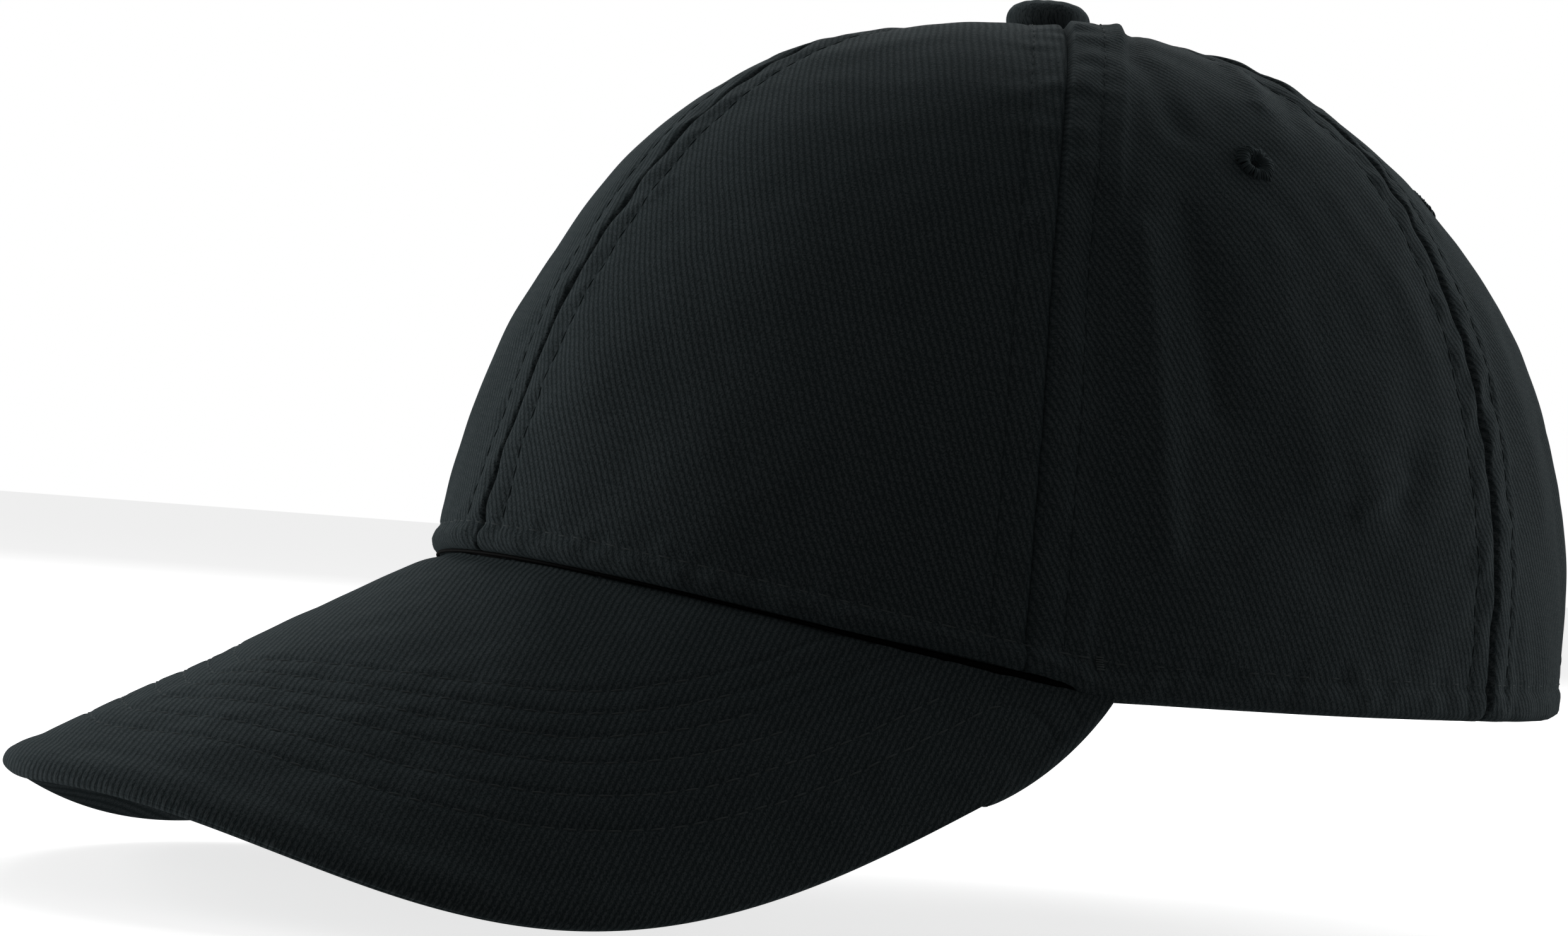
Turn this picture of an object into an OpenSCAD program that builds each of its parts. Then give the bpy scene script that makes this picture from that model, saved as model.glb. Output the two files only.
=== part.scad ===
// A structured six-panel baseball cap with a curved visor and a fabric strap closure.
// Axes: +X is the wearer's left, -Y is the front, +Z is up. The origin is the centre of the head
// opening, on the plane of the crown's lower edge. Lengths are in millimetres, angles in degrees.
//
// The crown is one surface. A place on it is an azimuth, 0 at the front and 90 at the wearer's left,
// a height share h, 0 at the rim and 1 at the apex, and an inset, the depth under the outer face.

/* [Crown] */
// Width of the crown at its rim
crown_w = 163; // [150:1:175]
// From the origin to the front of the rim
front_l = 112; // [100:1:118]
// From the origin to the back of the rim
back_l = 100.5; // [92:0.5:108]
// Height of the crown's apex over the rim plane
crown_h = 111.5; // [100:0.5:120]
// How far the apex lies in front of the origin
apex_forward = 8; // [0:1:12]
// Thickness of the twill panels
cloth_t = 1; // [0.8:0.1:1]
// Width of the tape over the inner seams
tape_w = 12; // [8:1:14]
// Height of the sweatband
sweatband_h = 30; // [24:1:34]

/* [Visor] */
// Half of the visor's width, measured along its curve
visor_s = 102.5; // [100:0.5:105]
// From the visor's corners to its front edge
visor_reach = 125.5; // [112:0.5:130]
// Thickness of the covered visor
visor_t = 3.2; // [3:0.1:4]
// Radius of the visor's curve across the cap
visor_r = 84; // [82:1:100]
// Downward slope of the visor
visor_slope = 26; // [20:1:30]

/* [Rear closure] */
// Half of the rear opening's width
arch_w = 38; // [34:1:42]
// Height of the rear opening
arch_h = 46; // [40:1:50]
// Width of the strap
strap_w = 20; // [16:1:20]
// Where the buckle sits, as an azimuth past the back
buckle_at = 15; // [12:1:16]
// Radius of the buckle's hinge pin
pin_r = 0.8; // [0.6:0.1:0.9]

/* [Trim] */
// Radius of the button on the apex
button_r = 7.5; // [6:0.5:8]
// Height of the button
button_h = 6; // [4:0.5:7]
// Outer radius of an eyelet
eyelet_r = 3.5; // [3:0.1:4]

/* [Hidden] */

twill = [0.10, 0.12, 0.12];
lining = [0.16, 0.17, 0.18];
metal = [0.45, 0.42, 0.36];
plastic = [0.75, 0.76, 0.78];
$fn = 64;

// Crown outline: half width, and the exponents of its profile (p) and of how fast it fills (q),
// at the front, the sides and the back
half_w = crown_w / 2;
p_front = 1.5;
p_side = 2.2;
p_back = 2.8;
q_front = 2.75;
q_side = 2.95;
q_back = 1.4;
// Seams between the panels, and how far the front one swings back near the apex
seam_front = 62;
seam_rear = 114;
seam_swing = 5;
// Radius share of the hole that the panels leave at the apex
apex_hole = 0.03;
// Visor: azimuth of its corners on the rim, where its outline starts, and its outline's exponents
corner = 70;
outline_y = 61.5;
outline_side = 1.35;
outline_front = 2.8;
outline_round = 0.05;
visor_cover_t = 0.8;
visor_edge = 1.6;
// Depths of the layers under the outer face: each runs from the first number to the second
buckram_layer = [cloth_t + 0.5, cloth_t + 1.1];
binding_layer = [cloth_t + 0.6, cloth_t + 1.1];
tape_layer = [cloth_t + 1.7, cloth_t + 2.2];
sweatband_layer = [cloth_t + 2.6, cloth_t + 3.6];
label_layer = [cloth_t + 4.1, cloth_t + 4.4];
// The strap and its tab stand upright instead of leaning in with the crown
strap_layer = [cloth_t + 1.3, cloth_t + 2.1];
tab_layer = [cloth_t + 2.6, cloth_t + 3.2];
// Rear opening
arch_angle = asin(arch_w / half_w);
binding_w = 8;
strap_z = 2;
strap_sewn = 11;
// Grids: rows up a panel, columns across it, and columns along the opening
panel_rows = 11;
panel_cols = 8;
arch_cols = 7;
visor_cols = 24;
visor_rows = 4;
band_cols = 44;

function mix(a, b, t) = a + (b - a) * t;
function grid_steps(n) = [for (i = [0 : n]) i / n];

// ---- The crown's surface ----
function front_share(az) = pow(max(cos(az), 0), 2);
function back_share(az) = pow(max(-cos(az), 0), 2);
function blend(az, side, front, back) =
    side + (front - side) * front_share(az) + (back - side) * back_share(az);
function profile_p(az) = blend(az, p_side, p_front, p_back);
function profile_q(az) = blend(az, q_side, q_front, q_back);

// Drop of the visor's curve at a distance x from the centre plane
function visor_drop(x) = visor_r - sqrt(visor_r * visor_r - x * x);
// Height of the rim at the centre front, and anywhere: it follows the visor's top face
rim_front = visor_drop(half_w * sin(corner)) - tan(visor_slope) * front_l * (1 - cos(corner));
function rim(az) = abs(az) >= corner ? 0
    : rim_front + tan(visor_slope) * front_l * (1 - cos(az)) - visor_drop(half_w * sin(az));

function ring(az, h) = pow(max(1 - pow(h, profile_p(az)), 0), 1 / profile_q(az));
function crown(az, h, inset) =
    let (r = ring(az, h), l = cos(az) > 0 ? front_l : back_l, z = rim(az))
    [
        (half_w - inset) * sin(az) * r,
        -apex_forward * (1 - r) - (l - inset) * cos(az) * r,
        z + (crown_h - inset - z) * h
    ];
// The height share of a point z above the rim
function share_at(az, z, inset) = z / (crown_h - inset - rim(az));
// Height share at t, 0 at the rim and 1 at the apex hole, evenly spaced along the curve
function rising(az, t) =
    let (top = acos(pow(apex_hole, profile_q(az) / 2)))
    pow(sin(top * t), 2 / profile_p(az));
function rising_at(az, h) =
    asin(pow(h, profile_p(az) / 2)) / acos(pow(apex_hole, profile_q(az) / 2));

// ---- Sheets: closed solids between two grids of points ----
module sheet(outer, inner) {
    cols = len(outer);
    rows = len(outer[0]);
    half = cols * rows;
    points = concat([for (c = outer) for (p = c) p], [for (c = inner) for (p = c) p]);
    function at(c, r) = c * rows + r;
    faces = concat(
        [for (c = [0 : cols - 2]) for (r = [0 : rows - 2])
            each [[at(c, r), at(c + 1, r + 1), at(c + 1, r)],
                  [at(c, r), at(c, r + 1), at(c + 1, r + 1)]]],
        [for (c = [0 : cols - 2]) for (r = [0 : rows - 2])
            each [[half + at(c, r), half + at(c + 1, r), half + at(c + 1, r + 1)],
                  [half + at(c, r), half + at(c + 1, r + 1), half + at(c, r + 1)]]],
        [for (r = [0 : rows - 2])
            each [[at(0, r), half + at(0, r), half + at(0, r + 1)],
                  [at(0, r), half + at(0, r + 1), at(0, r + 1)]]],
        [for (r = [0 : rows - 2])
            each [[at(cols - 1, r), half + at(cols - 1, r + 1), half + at(cols - 1, r)],
                  [at(cols - 1, r), at(cols - 1, r + 1), half + at(cols - 1, r + 1)]]],
        [for (c = [0 : cols - 2])
            each [[at(c, 0), half + at(c + 1, 0), half + at(c, 0)],
                  [at(c, 0), at(c + 1, 0), half + at(c + 1, 0)]]],
        [for (c = [0 : cols - 2])
            each [[at(c, rows - 1), half + at(c, rows - 1), half + at(c + 1, rows - 1)],
                  [at(c, rows - 1), half + at(c + 1, rows - 1), at(c + 1, rows - 1)]]]
    );
    polyhedron(points, faces);
}

// A sheet on the crown between two depths, from a grid of [azimuth, height share]
module crown_sheet(places, layer)
    sheet(
        [for (c = places) [for (p = c) crown(p[0], p[1], layer[0])]],
        [for (c = places) [for (p = c) crown(p[0], p[1], layer[1])]]
    );

// A level band on the crown between two azimuths, from low to high above the rim
module crown_band(from, to, low, high, layer, cols, rows = 1)
    crown_sheet(
        [for (u = grid_steps(cols)) let (az = mix(from, to, u))
            [for (v = grid_steps(rows)) [az, share_at(az, mix(low, high, v), layer[0])]]],
        layer
    );

// An upright band behind the rim, as high as the strap
module upright_band(from, to, layer, cols) {
    function edge(inset) = [for (u = grid_steps(cols)) let (p = crown(mix(from, to, u), 0, inset))
        [[p[0], p[1], strap_z], [p[0], p[1], strap_z + strap_w]]];
    sheet(edge(layer[0]), edge(layer[1]));
}

module mirrored() mirror([1, 0, 0]) children();

// ---- Panels ----
function front_seam(t) = seam_front + seam_swing * pow(t, 4);
function panel_column(from, to, u) =
    [for (t = grid_steps(panel_rows)) let (az = mix(from(t), to(t), u)) [az, rising(az, t)]];

centre_seam = function (t) 0;
front_seam_of = function (t) front_seam(t);
rear_seam_of = function (t) seam_rear;
arch_side_of = function (t) 180 - arch_angle;

module front_panel()
    crown_sheet(
        [for (u = grid_steps(panel_cols)) panel_column(centre_seam, front_seam_of, u)],
        [0, cloth_t]
    );

module side_panel()
    crown_sheet(
        [for (u = grid_steps(panel_cols)) panel_column(front_seam_of, rear_seam_of, u)],
        [0, cloth_t]
    );

// Height of the rear opening's edge over the rim, at an angle a along it: 0 at its foot, 90 at its top
function arch_azimuth(a, grow = 0) = 180 - (arch_angle + grow / half_w * 180 / PI) * cos(a);
function arch_z(a, grow = 0) = (arch_h + grow) * sin(a);

module back_panel()
    crown_sheet(
        concat(
            [for (u = grid_steps(5)) panel_column(rear_seam_of, arch_side_of, u)],
            [for (k = [1 : arch_cols])
                let (
                    a = 90 * k / arch_cols,
                    az = arch_azimuth(a),
                    start = rising_at(az, arch_z(a) / crown_h)
                )
                [for (t = grid_steps(panel_rows)) [az, rising(az, mix(start, 1, t))]]]
        ),
        [0, cloth_t]
    );

// ---- Inside layers ----
module buckram()
    crown_sheet(
        [for (u = grid_steps(7)) [for (t = grid_steps(9))
            let (az = mix(1.5, seam_front - 1.5, u)) [az, rising(az, mix(0.06, 0.88, t))]]],
        buckram_layer
    );

// A flat tape along a seam: each of its points lies off the seam along the crown's level ring
module seam_tape(places) {
    function row(p, inset) =
        let (
            at = crown(p[0], p[1], inset),
            ahead = crown(p[0] + 1, p[1], inset),
            side = (ahead - at) / norm(ahead - at) * tape_w / 2
        )
        [at - side, at + side];
    sheet(
        [for (p = places) row(p, tape_layer[0])],
        [for (p = places) row(p, tape_layer[1])]
    );
}

module front_seam_tape()
    seam_tape([for (t = [1 : -0.1 : 0]) let (u = mix(0.03, 0.84, t))
        [front_seam(u), rising(front_seam(u), u)]]);

module rear_seam_tape()
    seam_tape([for (t = [1 : -0.1 : 0]) let (u = mix(0.03, 0.78, t))
        [seam_rear, rising(seam_rear, u)]]);

// The centre tape runs from the front rim over the apex to the rear opening
module centre_seam_tape() {
    front = [for (t = [0 : 0.1 : 1]) crown(0, rising(0, mix(0.03, 0.985, t)), tape_layer[0])];
    start = rising_at(180, (arch_h + binding_w + 1) / crown_h);
    back = [for (t = [0 : 0.125 : 1]) crown(180, rising(180, mix(0.98, start, t)), tape_layer[0])];
    line = concat(front, back);
    side = [tape_w / 2, 0, 0];
    // Each point moves away from the outer face, along the normal of the tape's own line
    function normal(i) =
        let (d = line[min(i + 1, len(line) - 1)] - line[max(i - 1, 0)])
        [0, -d[2], d[1]] / norm(d);
    thick = tape_layer[1] - tape_layer[0];
    difference() {
        sheet(
            [for (p = line) [p - side, p + side]],
            [for (i = [0 : len(line) - 1]) let (p = line[i] - normal(i) * thick) [p - side, p + side]]
        );
        translate([0, -apex_forward, crown_h - 5]) cylinder(r = post_r + 0.3, h = 5);
    }
}

module sweatband()
    crown_band(-140, 140, 0.5, sweatband_h, sweatband_layer, band_cols, 2);

module opening_binding() {
    foot = asin((strap_z + strap_w + 2) / arch_h);
    crown_sheet(
        [for (u = grid_steps(14)) let (a = mix(foot, 180 - foot, u))
            [for (v = [0, 0.5, 1])
                let (grow = mix(0.3, binding_w, v), az = arch_azimuth(a, grow))
                [az, share_at(180, arch_z(a, grow), binding_layer[0])]]],
        binding_layer
    );
}

module care_label()
    crown_band(118, 128, 8, 24, label_layer, 3);

// ---- Visor: a bent sheet whose places are an angle tau round its outline and a share v outwards ----
function visor_inner(tau, inset) =
    let (az = corner * tau / 90)
    [
        visor_r * PI / 180 * asin((half_w + inset) * sin(az) / visor_r),
        -(front_l + inset) * cos(az)
    ];
// The outline narrows by trim, less so towards the corners, where the visor meets the crown
function visor_outer(tau, trim) =
    let (
        in = trim * max(0.1, min(1, 4 * cos(tau))),
        side = pow((pow(sin(tau), 2) + outline_round) / (1 + outline_round), 1 / outline_side - 0.5)
    )
    [
        (visor_s - in) * sin(tau) * side,
        -outline_y - (visor_reach - in) * pow(cos(tau), 2 / outline_front)
    ];
// Lifts a flat place [along the curve, y] onto the visor at a depth under its top face
function visor_point(flat, depth) =
    let (a = flat[0] / visor_r * 180 / PI, r = visor_r - depth)
    [
        r * sin(a),
        flat[1],
        rim_front - tan(visor_slope) * (-flat[1] - front_l) - (visor_r - r * cos(a))
    ];

// A layer of the visor. top and bottom list a depth for each row, from the crown to the outer edge
module visor_layer(shares, trims, top, bottom) {
    taus = [for (u = grid_steps(visor_cols)) mix(-90, 90, u)];
    function place(tau, k) = mix(visor_inner(tau, 0.2), visor_outer(tau, trims[k]), shares[k]);
    sheet(
        [for (tau = taus) [for (k = [0 : len(shares) - 1]) visor_point(place(tau, k), bottom[k])]],
        [for (tau = taus) [for (k = [0 : len(shares) - 1]) visor_point(place(tau, k), top[k])]]
    );
}

// Rows of a cover: level rows to the board's edge, then a lip that closes round it
cover_shares = concat([for (v = [0 : 1 / visor_rows : 1]) v], [1, 1]);
cover_trims = concat([for (v = [0 : 1 / visor_rows : 1]) visor_edge], [visor_edge - 0.05, 0]);
function lip(flat, edge) = concat([for (v = [0 : 1 / visor_rows : 1]) flat], [edge, edge]);

module visor_top_cover()
    visor_layer(cover_shares, cover_trims, lip(0, 0), lip(visor_cover_t, visor_t / 2));

module visor_under_cover()
    visor_layer(
        cover_shares, cover_trims,
        lip(visor_t - visor_cover_t, visor_t / 2), lip(visor_t, visor_t)
    );

module visor_board()
    visor_layer(
        [for (v = [0 : 1 / visor_rows : 1]) v],
        [for (v = [0 : 1 / visor_rows : 1]) visor_edge + 0.2],
        [for (v = [0 : 1 / visor_rows : 1]) visor_cover_t + 0.05],
        [for (v = [0 : 1 / visor_rows : 1]) visor_t - visor_cover_t - 0.05]
    );

// ---- Button on the apex ----
post_r = 1.5;
button_cloth_t = 0.7;
button_metal_t = 0.5;
function dome(r, h, from, to) =
    [for (i = [0 : 12]) let (a = mix(from, to, i / 12)) [r * pow(cos(a), 0.8), h * pow(sin(a), 0.9)]];

module on_apex() translate([0, -apex_forward, crown_h + 0.2]) children();

module button_cover()
    on_apex() rotate_extrude()
        polygon(concat(
            dome(button_r, button_h, 0, 89.9),
            [[0, button_h], [0, button_h - button_cloth_t]],
            dome(button_r - button_cloth_t, button_h - button_cloth_t, 89.9, 8),
            [[button_r - button_cloth_t, 0.5], [button_r - 2, 0.5], [button_r - 2, 0]]
        ));

module button_shell() {
    r = button_r - button_cloth_t - 0.05;
    h = button_h - button_cloth_t - 0.05;
    on_apex() rotate_extrude()
        polygon(concat(
            [[r, 0.6]],
            dome(r, h, 10, 89.9),
            [[0, h], [0, h - button_metal_t]],
            dome(r - button_metal_t, h - button_metal_t, 89.9, 10),
            [[r - button_metal_t, 0.6]]
        ));
}

module button_rivet()
    on_apex() {
        translate([0, 0, 0.6]) cylinder(r = button_r - 2, h = 0.6);
        translate([0, 0, -5.7]) cylinder(r = post_r, h = 6.4);
    }

module button_washer()
    on_apex() translate([0, 0, -5.1]) difference() {
        cylinder(r = 4.5, h = 0.7);
        translate([0, 0, -1]) cylinder(r = post_r, h = 3);
    }

// ---- Eyelets: a sewn ring through a panel ----
eyelet_side_at = [87, 0.785];
eyelet_back_at = [143, 0.785];

// Puts its children on the crown, with +Z along the outward normal
module on_crown(place) {
    at = crown(place[0], place[1], 0);
    across = crown(place[0] + 0.5, place[1], 0) - at;
    up = crown(place[0], place[1] + 0.005, 0) - at;
    n = cross(across, up) / norm(cross(across, up));
    translate(at) rotate([0, acos(n[2]), atan2(n[1], n[0])]) children();
}

module eyelet_hole(place)
    on_crown(place) translate([0, 0, -4]) cylinder(r = 1.9, h = 8);

module eyelet(place)
    on_crown(place) rotate_extrude()
        polygon([
            [1.1, -2.2], [eyelet_r - 0.1, -2.2], [eyelet_r - 0.1, -1.7], [1.7, -1.7],
            [1.7, 0.15], [eyelet_r, 0.15], [eyelet_r, 0.65], [1.1, 0.65]
        ]);

module side_panel_with_eyelet() difference() {
    side_panel();
    eyelet_hole(eyelet_side_at);
}

module back_panel_with_eyelet() difference() {
    back_panel();
    eyelet_hole(eyelet_back_at);
}

// ---- Rear closure: a fabric strap through a cam buckle ----
wall_t = 1;
wall_z = strap_w / 2 + 1;
bar_r = 0.7;
bar_at = [-9, -5.4];
pin_at = [4, 0.5];
plate_y = -4.6;

// The buckle's own frame: +X along the strap towards the wearer's left, +Y outwards, origin on the
// outer face of the crown at the middle of the strap
module on_buckle() {
    at = crown(180 + buckle_at, 0, 0);
    n = [at[0] / (half_w * half_w), at[1] / (back_l * back_l)];
    translate([at[0], at[1], strap_z + strap_w / 2]) rotate([0, 0, atan2(n[1], n[0]) - 90]) children();
}

module upright(r, half_h) translate([0, 0, -half_h]) cylinder(r = r, h = 2 * half_h);

module closure_strap()
    upright_band(180 - arch_angle - strap_sewn, 180 + arch_angle + 6, strap_layer, 28);

// The tab is sewn inside the right back panel and loops round the buckle's bar
module buckle_tab() {
    tab_t = tab_layer[1] - tab_layer[0];
    r_in = bar_r + 0.05;
    on_buckle() translate([bar_at[0], bar_at[1], 0]) difference() {
        upright(r_in + tab_t, strap_w / 2);
        upright(r_in, strap_w / 2 + 1);
    }
    end = 180 + buckle_at + asin((-bar_at[0] + r_in + tab_t - 0.1) / half_w);
    upright_band(end, 180 + arch_angle + strap_sewn, tab_layer, 8);
}

module buckle_frame() on_buckle() difference() {
    union() {
        // Base plate behind the strap
        translate([-5, plate_y, -wall_z]) cube([13, 0.8, 2 * wall_z]);
        // Side walls over and under the strap
        for (side = [-1, 1])
            translate([0, 0, side * (wall_z + wall_t / 2) - wall_t / 2])
                linear_extrude(wall_t)
                    polygon([
                        [bar_at[0] - 1.3, bar_at[1] - 1.3], [8, plate_y], [8, pin_at[1] - 1],
                        [pin_at[0] + 1.8, pin_at[1] + 1.8], [pin_at[0] - 1.8, pin_at[1] + 1.8],
                        [bar_at[0] - 1.3, bar_at[1] + 1.6]
                    ]);
        // Bar that carries the tab
        translate([bar_at[0], bar_at[1], 0]) upright(bar_r, wall_z + 0.01);
    }
    translate([pin_at[0], pin_at[1], 0]) upright(pin_r, wall_z + wall_t + 1);
}

module buckle_pin() on_buckle()
    translate([pin_at[0], pin_at[1], 0]) upright(pin_r, wall_z + wall_t + 0.4);

// The lever is drawn closed: its plate lies over the strap and its cam faces the strap
module buckle_lever() {
    half = wall_z - 0.4;
    on_buckle() difference() {
        union() {
            translate([pin_at[0], pin_at[1], 0]) upright(1.9, half);
            translate([pin_at[0] - 17, pin_at[1] + 0.3, -half]) cube([17, 1, 2 * half]);
            // Cam nose
            translate([pin_at[0], pin_at[1], -half]) linear_extrude(2 * half)
                polygon([[-1.5, 0], [-0.9, -2.2], [0.9, -2.2], [1.5, 0]]);
        }
        translate([pin_at[0], pin_at[1], 0]) upright(pin_r + 0.06, half + 1);
    }
}

color(twill) front_panel();  // front_panel_left
color(twill) mirrored() front_panel();  // front_panel_right
color(twill) side_panel_with_eyelet();  // side_panel_left
color(twill) mirrored() side_panel_with_eyelet();  // side_panel_right
color(twill) back_panel_with_eyelet();  // back_panel_left
color(twill) mirrored() back_panel_with_eyelet();  // back_panel_right
color(plastic) buckram();  // buckram_left
color(plastic) mirrored() buckram();  // buckram_right
color(lining) centre_seam_tape();
color(lining) front_seam_tape();  // front_seam_tape_left
color(lining) mirrored() front_seam_tape();  // front_seam_tape_right
color(lining) rear_seam_tape();  // rear_seam_tape_left
color(lining) mirrored() rear_seam_tape();  // rear_seam_tape_right
color(lining) sweatband();
color(lining) opening_binding();
color(twill) visor_top_cover();
color(plastic) visor_board();
color(twill) visor_under_cover();
color(twill) button_cover();
color(metal) button_shell();
color(metal) button_rivet();
color(metal) button_washer();
color(twill) eyelet(eyelet_side_at);  // eyelet_side_left
color(twill) mirrored() eyelet(eyelet_side_at);  // eyelet_side_right
color(twill) eyelet(eyelet_back_at);  // eyelet_back_left
color(twill) mirrored() eyelet(eyelet_back_at);  // eyelet_back_right
color(twill) closure_strap();
color(twill) buckle_tab();
color(metal) buckle_frame();
color(metal) buckle_pin();
color(metal) buckle_lever();
color("white") care_label();
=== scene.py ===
"""The looks of a black twill baseball cap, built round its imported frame.

Lengths are in millimetres until a mesh is made, and angles are in degrees. +X is the wearer's left,
-Y is the front and +Z is up. A place on the crown is an azimuth, 0 at the front and 90 at the
wearer's left, and a share s of the way up its wall, 0 at the rim and 1 at the apex.
"""
import math

import bpy
import numpy as np
from mathutils import Matrix, Vector


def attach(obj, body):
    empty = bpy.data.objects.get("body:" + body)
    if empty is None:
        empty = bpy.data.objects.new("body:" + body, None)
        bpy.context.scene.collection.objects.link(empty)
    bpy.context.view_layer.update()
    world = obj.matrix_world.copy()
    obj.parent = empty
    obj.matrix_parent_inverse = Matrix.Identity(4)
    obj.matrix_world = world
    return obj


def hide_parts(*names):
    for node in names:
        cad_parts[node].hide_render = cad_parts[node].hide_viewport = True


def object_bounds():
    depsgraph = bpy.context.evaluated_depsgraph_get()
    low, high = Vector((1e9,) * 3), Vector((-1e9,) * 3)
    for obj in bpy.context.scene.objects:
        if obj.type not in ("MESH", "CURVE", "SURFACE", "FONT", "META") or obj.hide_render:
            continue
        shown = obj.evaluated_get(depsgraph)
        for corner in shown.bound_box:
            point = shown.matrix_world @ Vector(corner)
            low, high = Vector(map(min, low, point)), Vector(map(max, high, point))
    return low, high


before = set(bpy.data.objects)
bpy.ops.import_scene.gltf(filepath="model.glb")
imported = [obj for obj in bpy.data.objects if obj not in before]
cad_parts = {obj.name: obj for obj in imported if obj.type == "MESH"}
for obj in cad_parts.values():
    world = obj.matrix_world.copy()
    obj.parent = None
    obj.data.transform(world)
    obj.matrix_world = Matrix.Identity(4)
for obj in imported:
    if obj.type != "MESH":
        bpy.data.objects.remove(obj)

CAD_BOX = [list(corner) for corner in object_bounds()]
MM = 0.001
rng = np.random.default_rng(11)

# ---- Camera: it stands at the photograph's angle, 58 degrees round from the front ----
CAM_AZIMUTH = 58.34
CAM_ELEVATION = -0.44
CAM_ROLL = 4.72
CAM_DISTANCE = 702.8
CAM_AIM_RIGHT = -46.76
CAM_AIM_UP = 31.84
CAM_LENS = 90.92
CAM_SENSOR = 36.0


def make_camera():
    azimuth, elevation, roll = map(math.radians, (CAM_AZIMUTH, CAM_ELEVATION, CAM_ROLL))
    back = Vector((
        math.sin(azimuth) * math.cos(elevation),
        -math.cos(azimuth) * math.cos(elevation),
        math.sin(elevation),
    ))
    right = Vector((math.cos(azimuth), math.sin(azimuth), 0))
    up = back.cross(right)
    image_right = right * math.cos(roll) + up * math.sin(roll)
    image_up = up * math.cos(roll) - right * math.sin(roll)
    target = right * CAM_AIM_RIGHT + Vector((0, 0, CAM_AIM_UP))
    place = (target + back * CAM_DISTANCE) * MM
    camera = bpy.data.objects.new("camera", bpy.data.cameras.new("camera"))
    bpy.context.scene.collection.objects.link(camera)
    camera.data.lens = CAM_LENS
    camera.data.sensor_width = CAM_SENSOR
    camera.data.clip_start = 0.01
    camera.data.clip_end = 20
    camera.matrix_world = Matrix((
        (image_right.x, image_up.x, back.x, place.x),
        (image_right.y, image_up.y, back.y, place.y),
        (image_right.z, image_up.z, back.z, place.z),
        (0, 0, 0, 1),
    ))
    bpy.context.scene.camera = camera


make_camera()

# ---- The crown's and the visor's shape, as the frame has it ----
HALF_W = 81.5
FRONT_L = 112.0
BACK_L = 100.5
CROWN_H = 111.5
APEX_FORWARD = 8.0
P_FRONT, P_SIDE, P_BACK = 1.5, 2.2, 2.8
Q_FRONT, Q_SIDE, Q_BACK = 2.75, 2.95, 1.4
SEAM_FRONT = 62.0
SEAM_REAR = 114.0
SEAM_SWING = 5.0
APEX_HOLE = 0.03
CLOTH_T = 1.0
ARCH_W = 38.0
ARCH_H = 46.0
ARCH_ANGLE = math.degrees(math.asin(ARCH_W / HALF_W))
VISOR_S = 102.5
VISOR_REACH = 125.5
VISOR_T = 3.2
VISOR_R = 84.0
VISOR_SLOPE = math.tan(math.radians(26))
VISOR_CORNER = 70.0
VISOR_COVER_T = 0.8
VISOR_EDGE = 1.6
OUTLINE_Y = 61.5
OUTLINE_SIDE = 1.35
OUTLINE_FRONT = 2.8
OUTLINE_ROUND = 0.05


def sind(angle):
    return np.sin(np.radians(angle))


def cosd(angle):
    return np.cos(np.radians(angle))


def mix(a, b, t):
    return a + (b - a) * t


def smooth(x, low, high):
    """0 below low, 1 above high, and smooth between them."""
    t = np.clip((x - low) / (high - low), 0, 1)
    return t * t * (3 - 2 * t)


def bell(x, width):
    return np.exp(-(x / width) ** 2)


def unit(v):
    return v / np.maximum(np.linalg.norm(v, axis=-1, keepdims=True), 1e-9)


def distances_along(line):
    """Distance of each point of a line from its first point."""
    steps = np.linalg.norm(np.diff(line, axis=0), axis=1)
    return np.concatenate([[0], np.cumsum(steps)])


def blend(azimuth, side, front, back):
    c = cosd(azimuth)
    return side + (front - side) * np.maximum(c, 0) ** 2 + (back - side) * np.maximum(-c, 0) ** 2


def profile_p(azimuth):
    return blend(azimuth, P_SIDE, P_FRONT, P_BACK)


def profile_q(azimuth):
    return blend(azimuth, Q_SIDE, Q_FRONT, Q_BACK)


def visor_drop(x):
    return VISOR_R - np.sqrt(VISOR_R ** 2 - x ** 2)


RIM_FRONT = visor_drop(HALF_W * sind(VISOR_CORNER)) - VISOR_SLOPE * FRONT_L * (1 - cosd(VISOR_CORNER))


def rim(azimuth):
    """Height of the crown's lower edge: it follows the visor's top face and is level behind it."""
    a = np.clip(np.abs(azimuth), 0, VISOR_CORNER)
    height = RIM_FRONT + VISOR_SLOPE * FRONT_L * (1 - cosd(a)) - visor_drop(HALF_W * sind(a))
    return np.where(np.abs(azimuth) >= VISOR_CORNER, 0.0, height)


def crown_at_height(azimuth, h, inset=0.0):
    """Point at a height share h, 0 at the rim and 1 at the apex, under the outer face by inset."""
    azimuth, h, inset = np.broadcast_arrays(azimuth, h, inset)
    ring = np.maximum(1 - h ** profile_p(azimuth), 0) ** (1 / profile_q(azimuth))
    length = np.where(cosd(azimuth) > 0, FRONT_L, BACK_L)
    low = rim(azimuth)
    return np.stack([
        (HALF_W - inset) * sind(azimuth) * ring,
        -APEX_FORWARD * (1 - ring) - (length - inset) * cosd(azimuth) * ring,
        low + (CROWN_H - inset - low) * h,
    ], -1)


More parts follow.
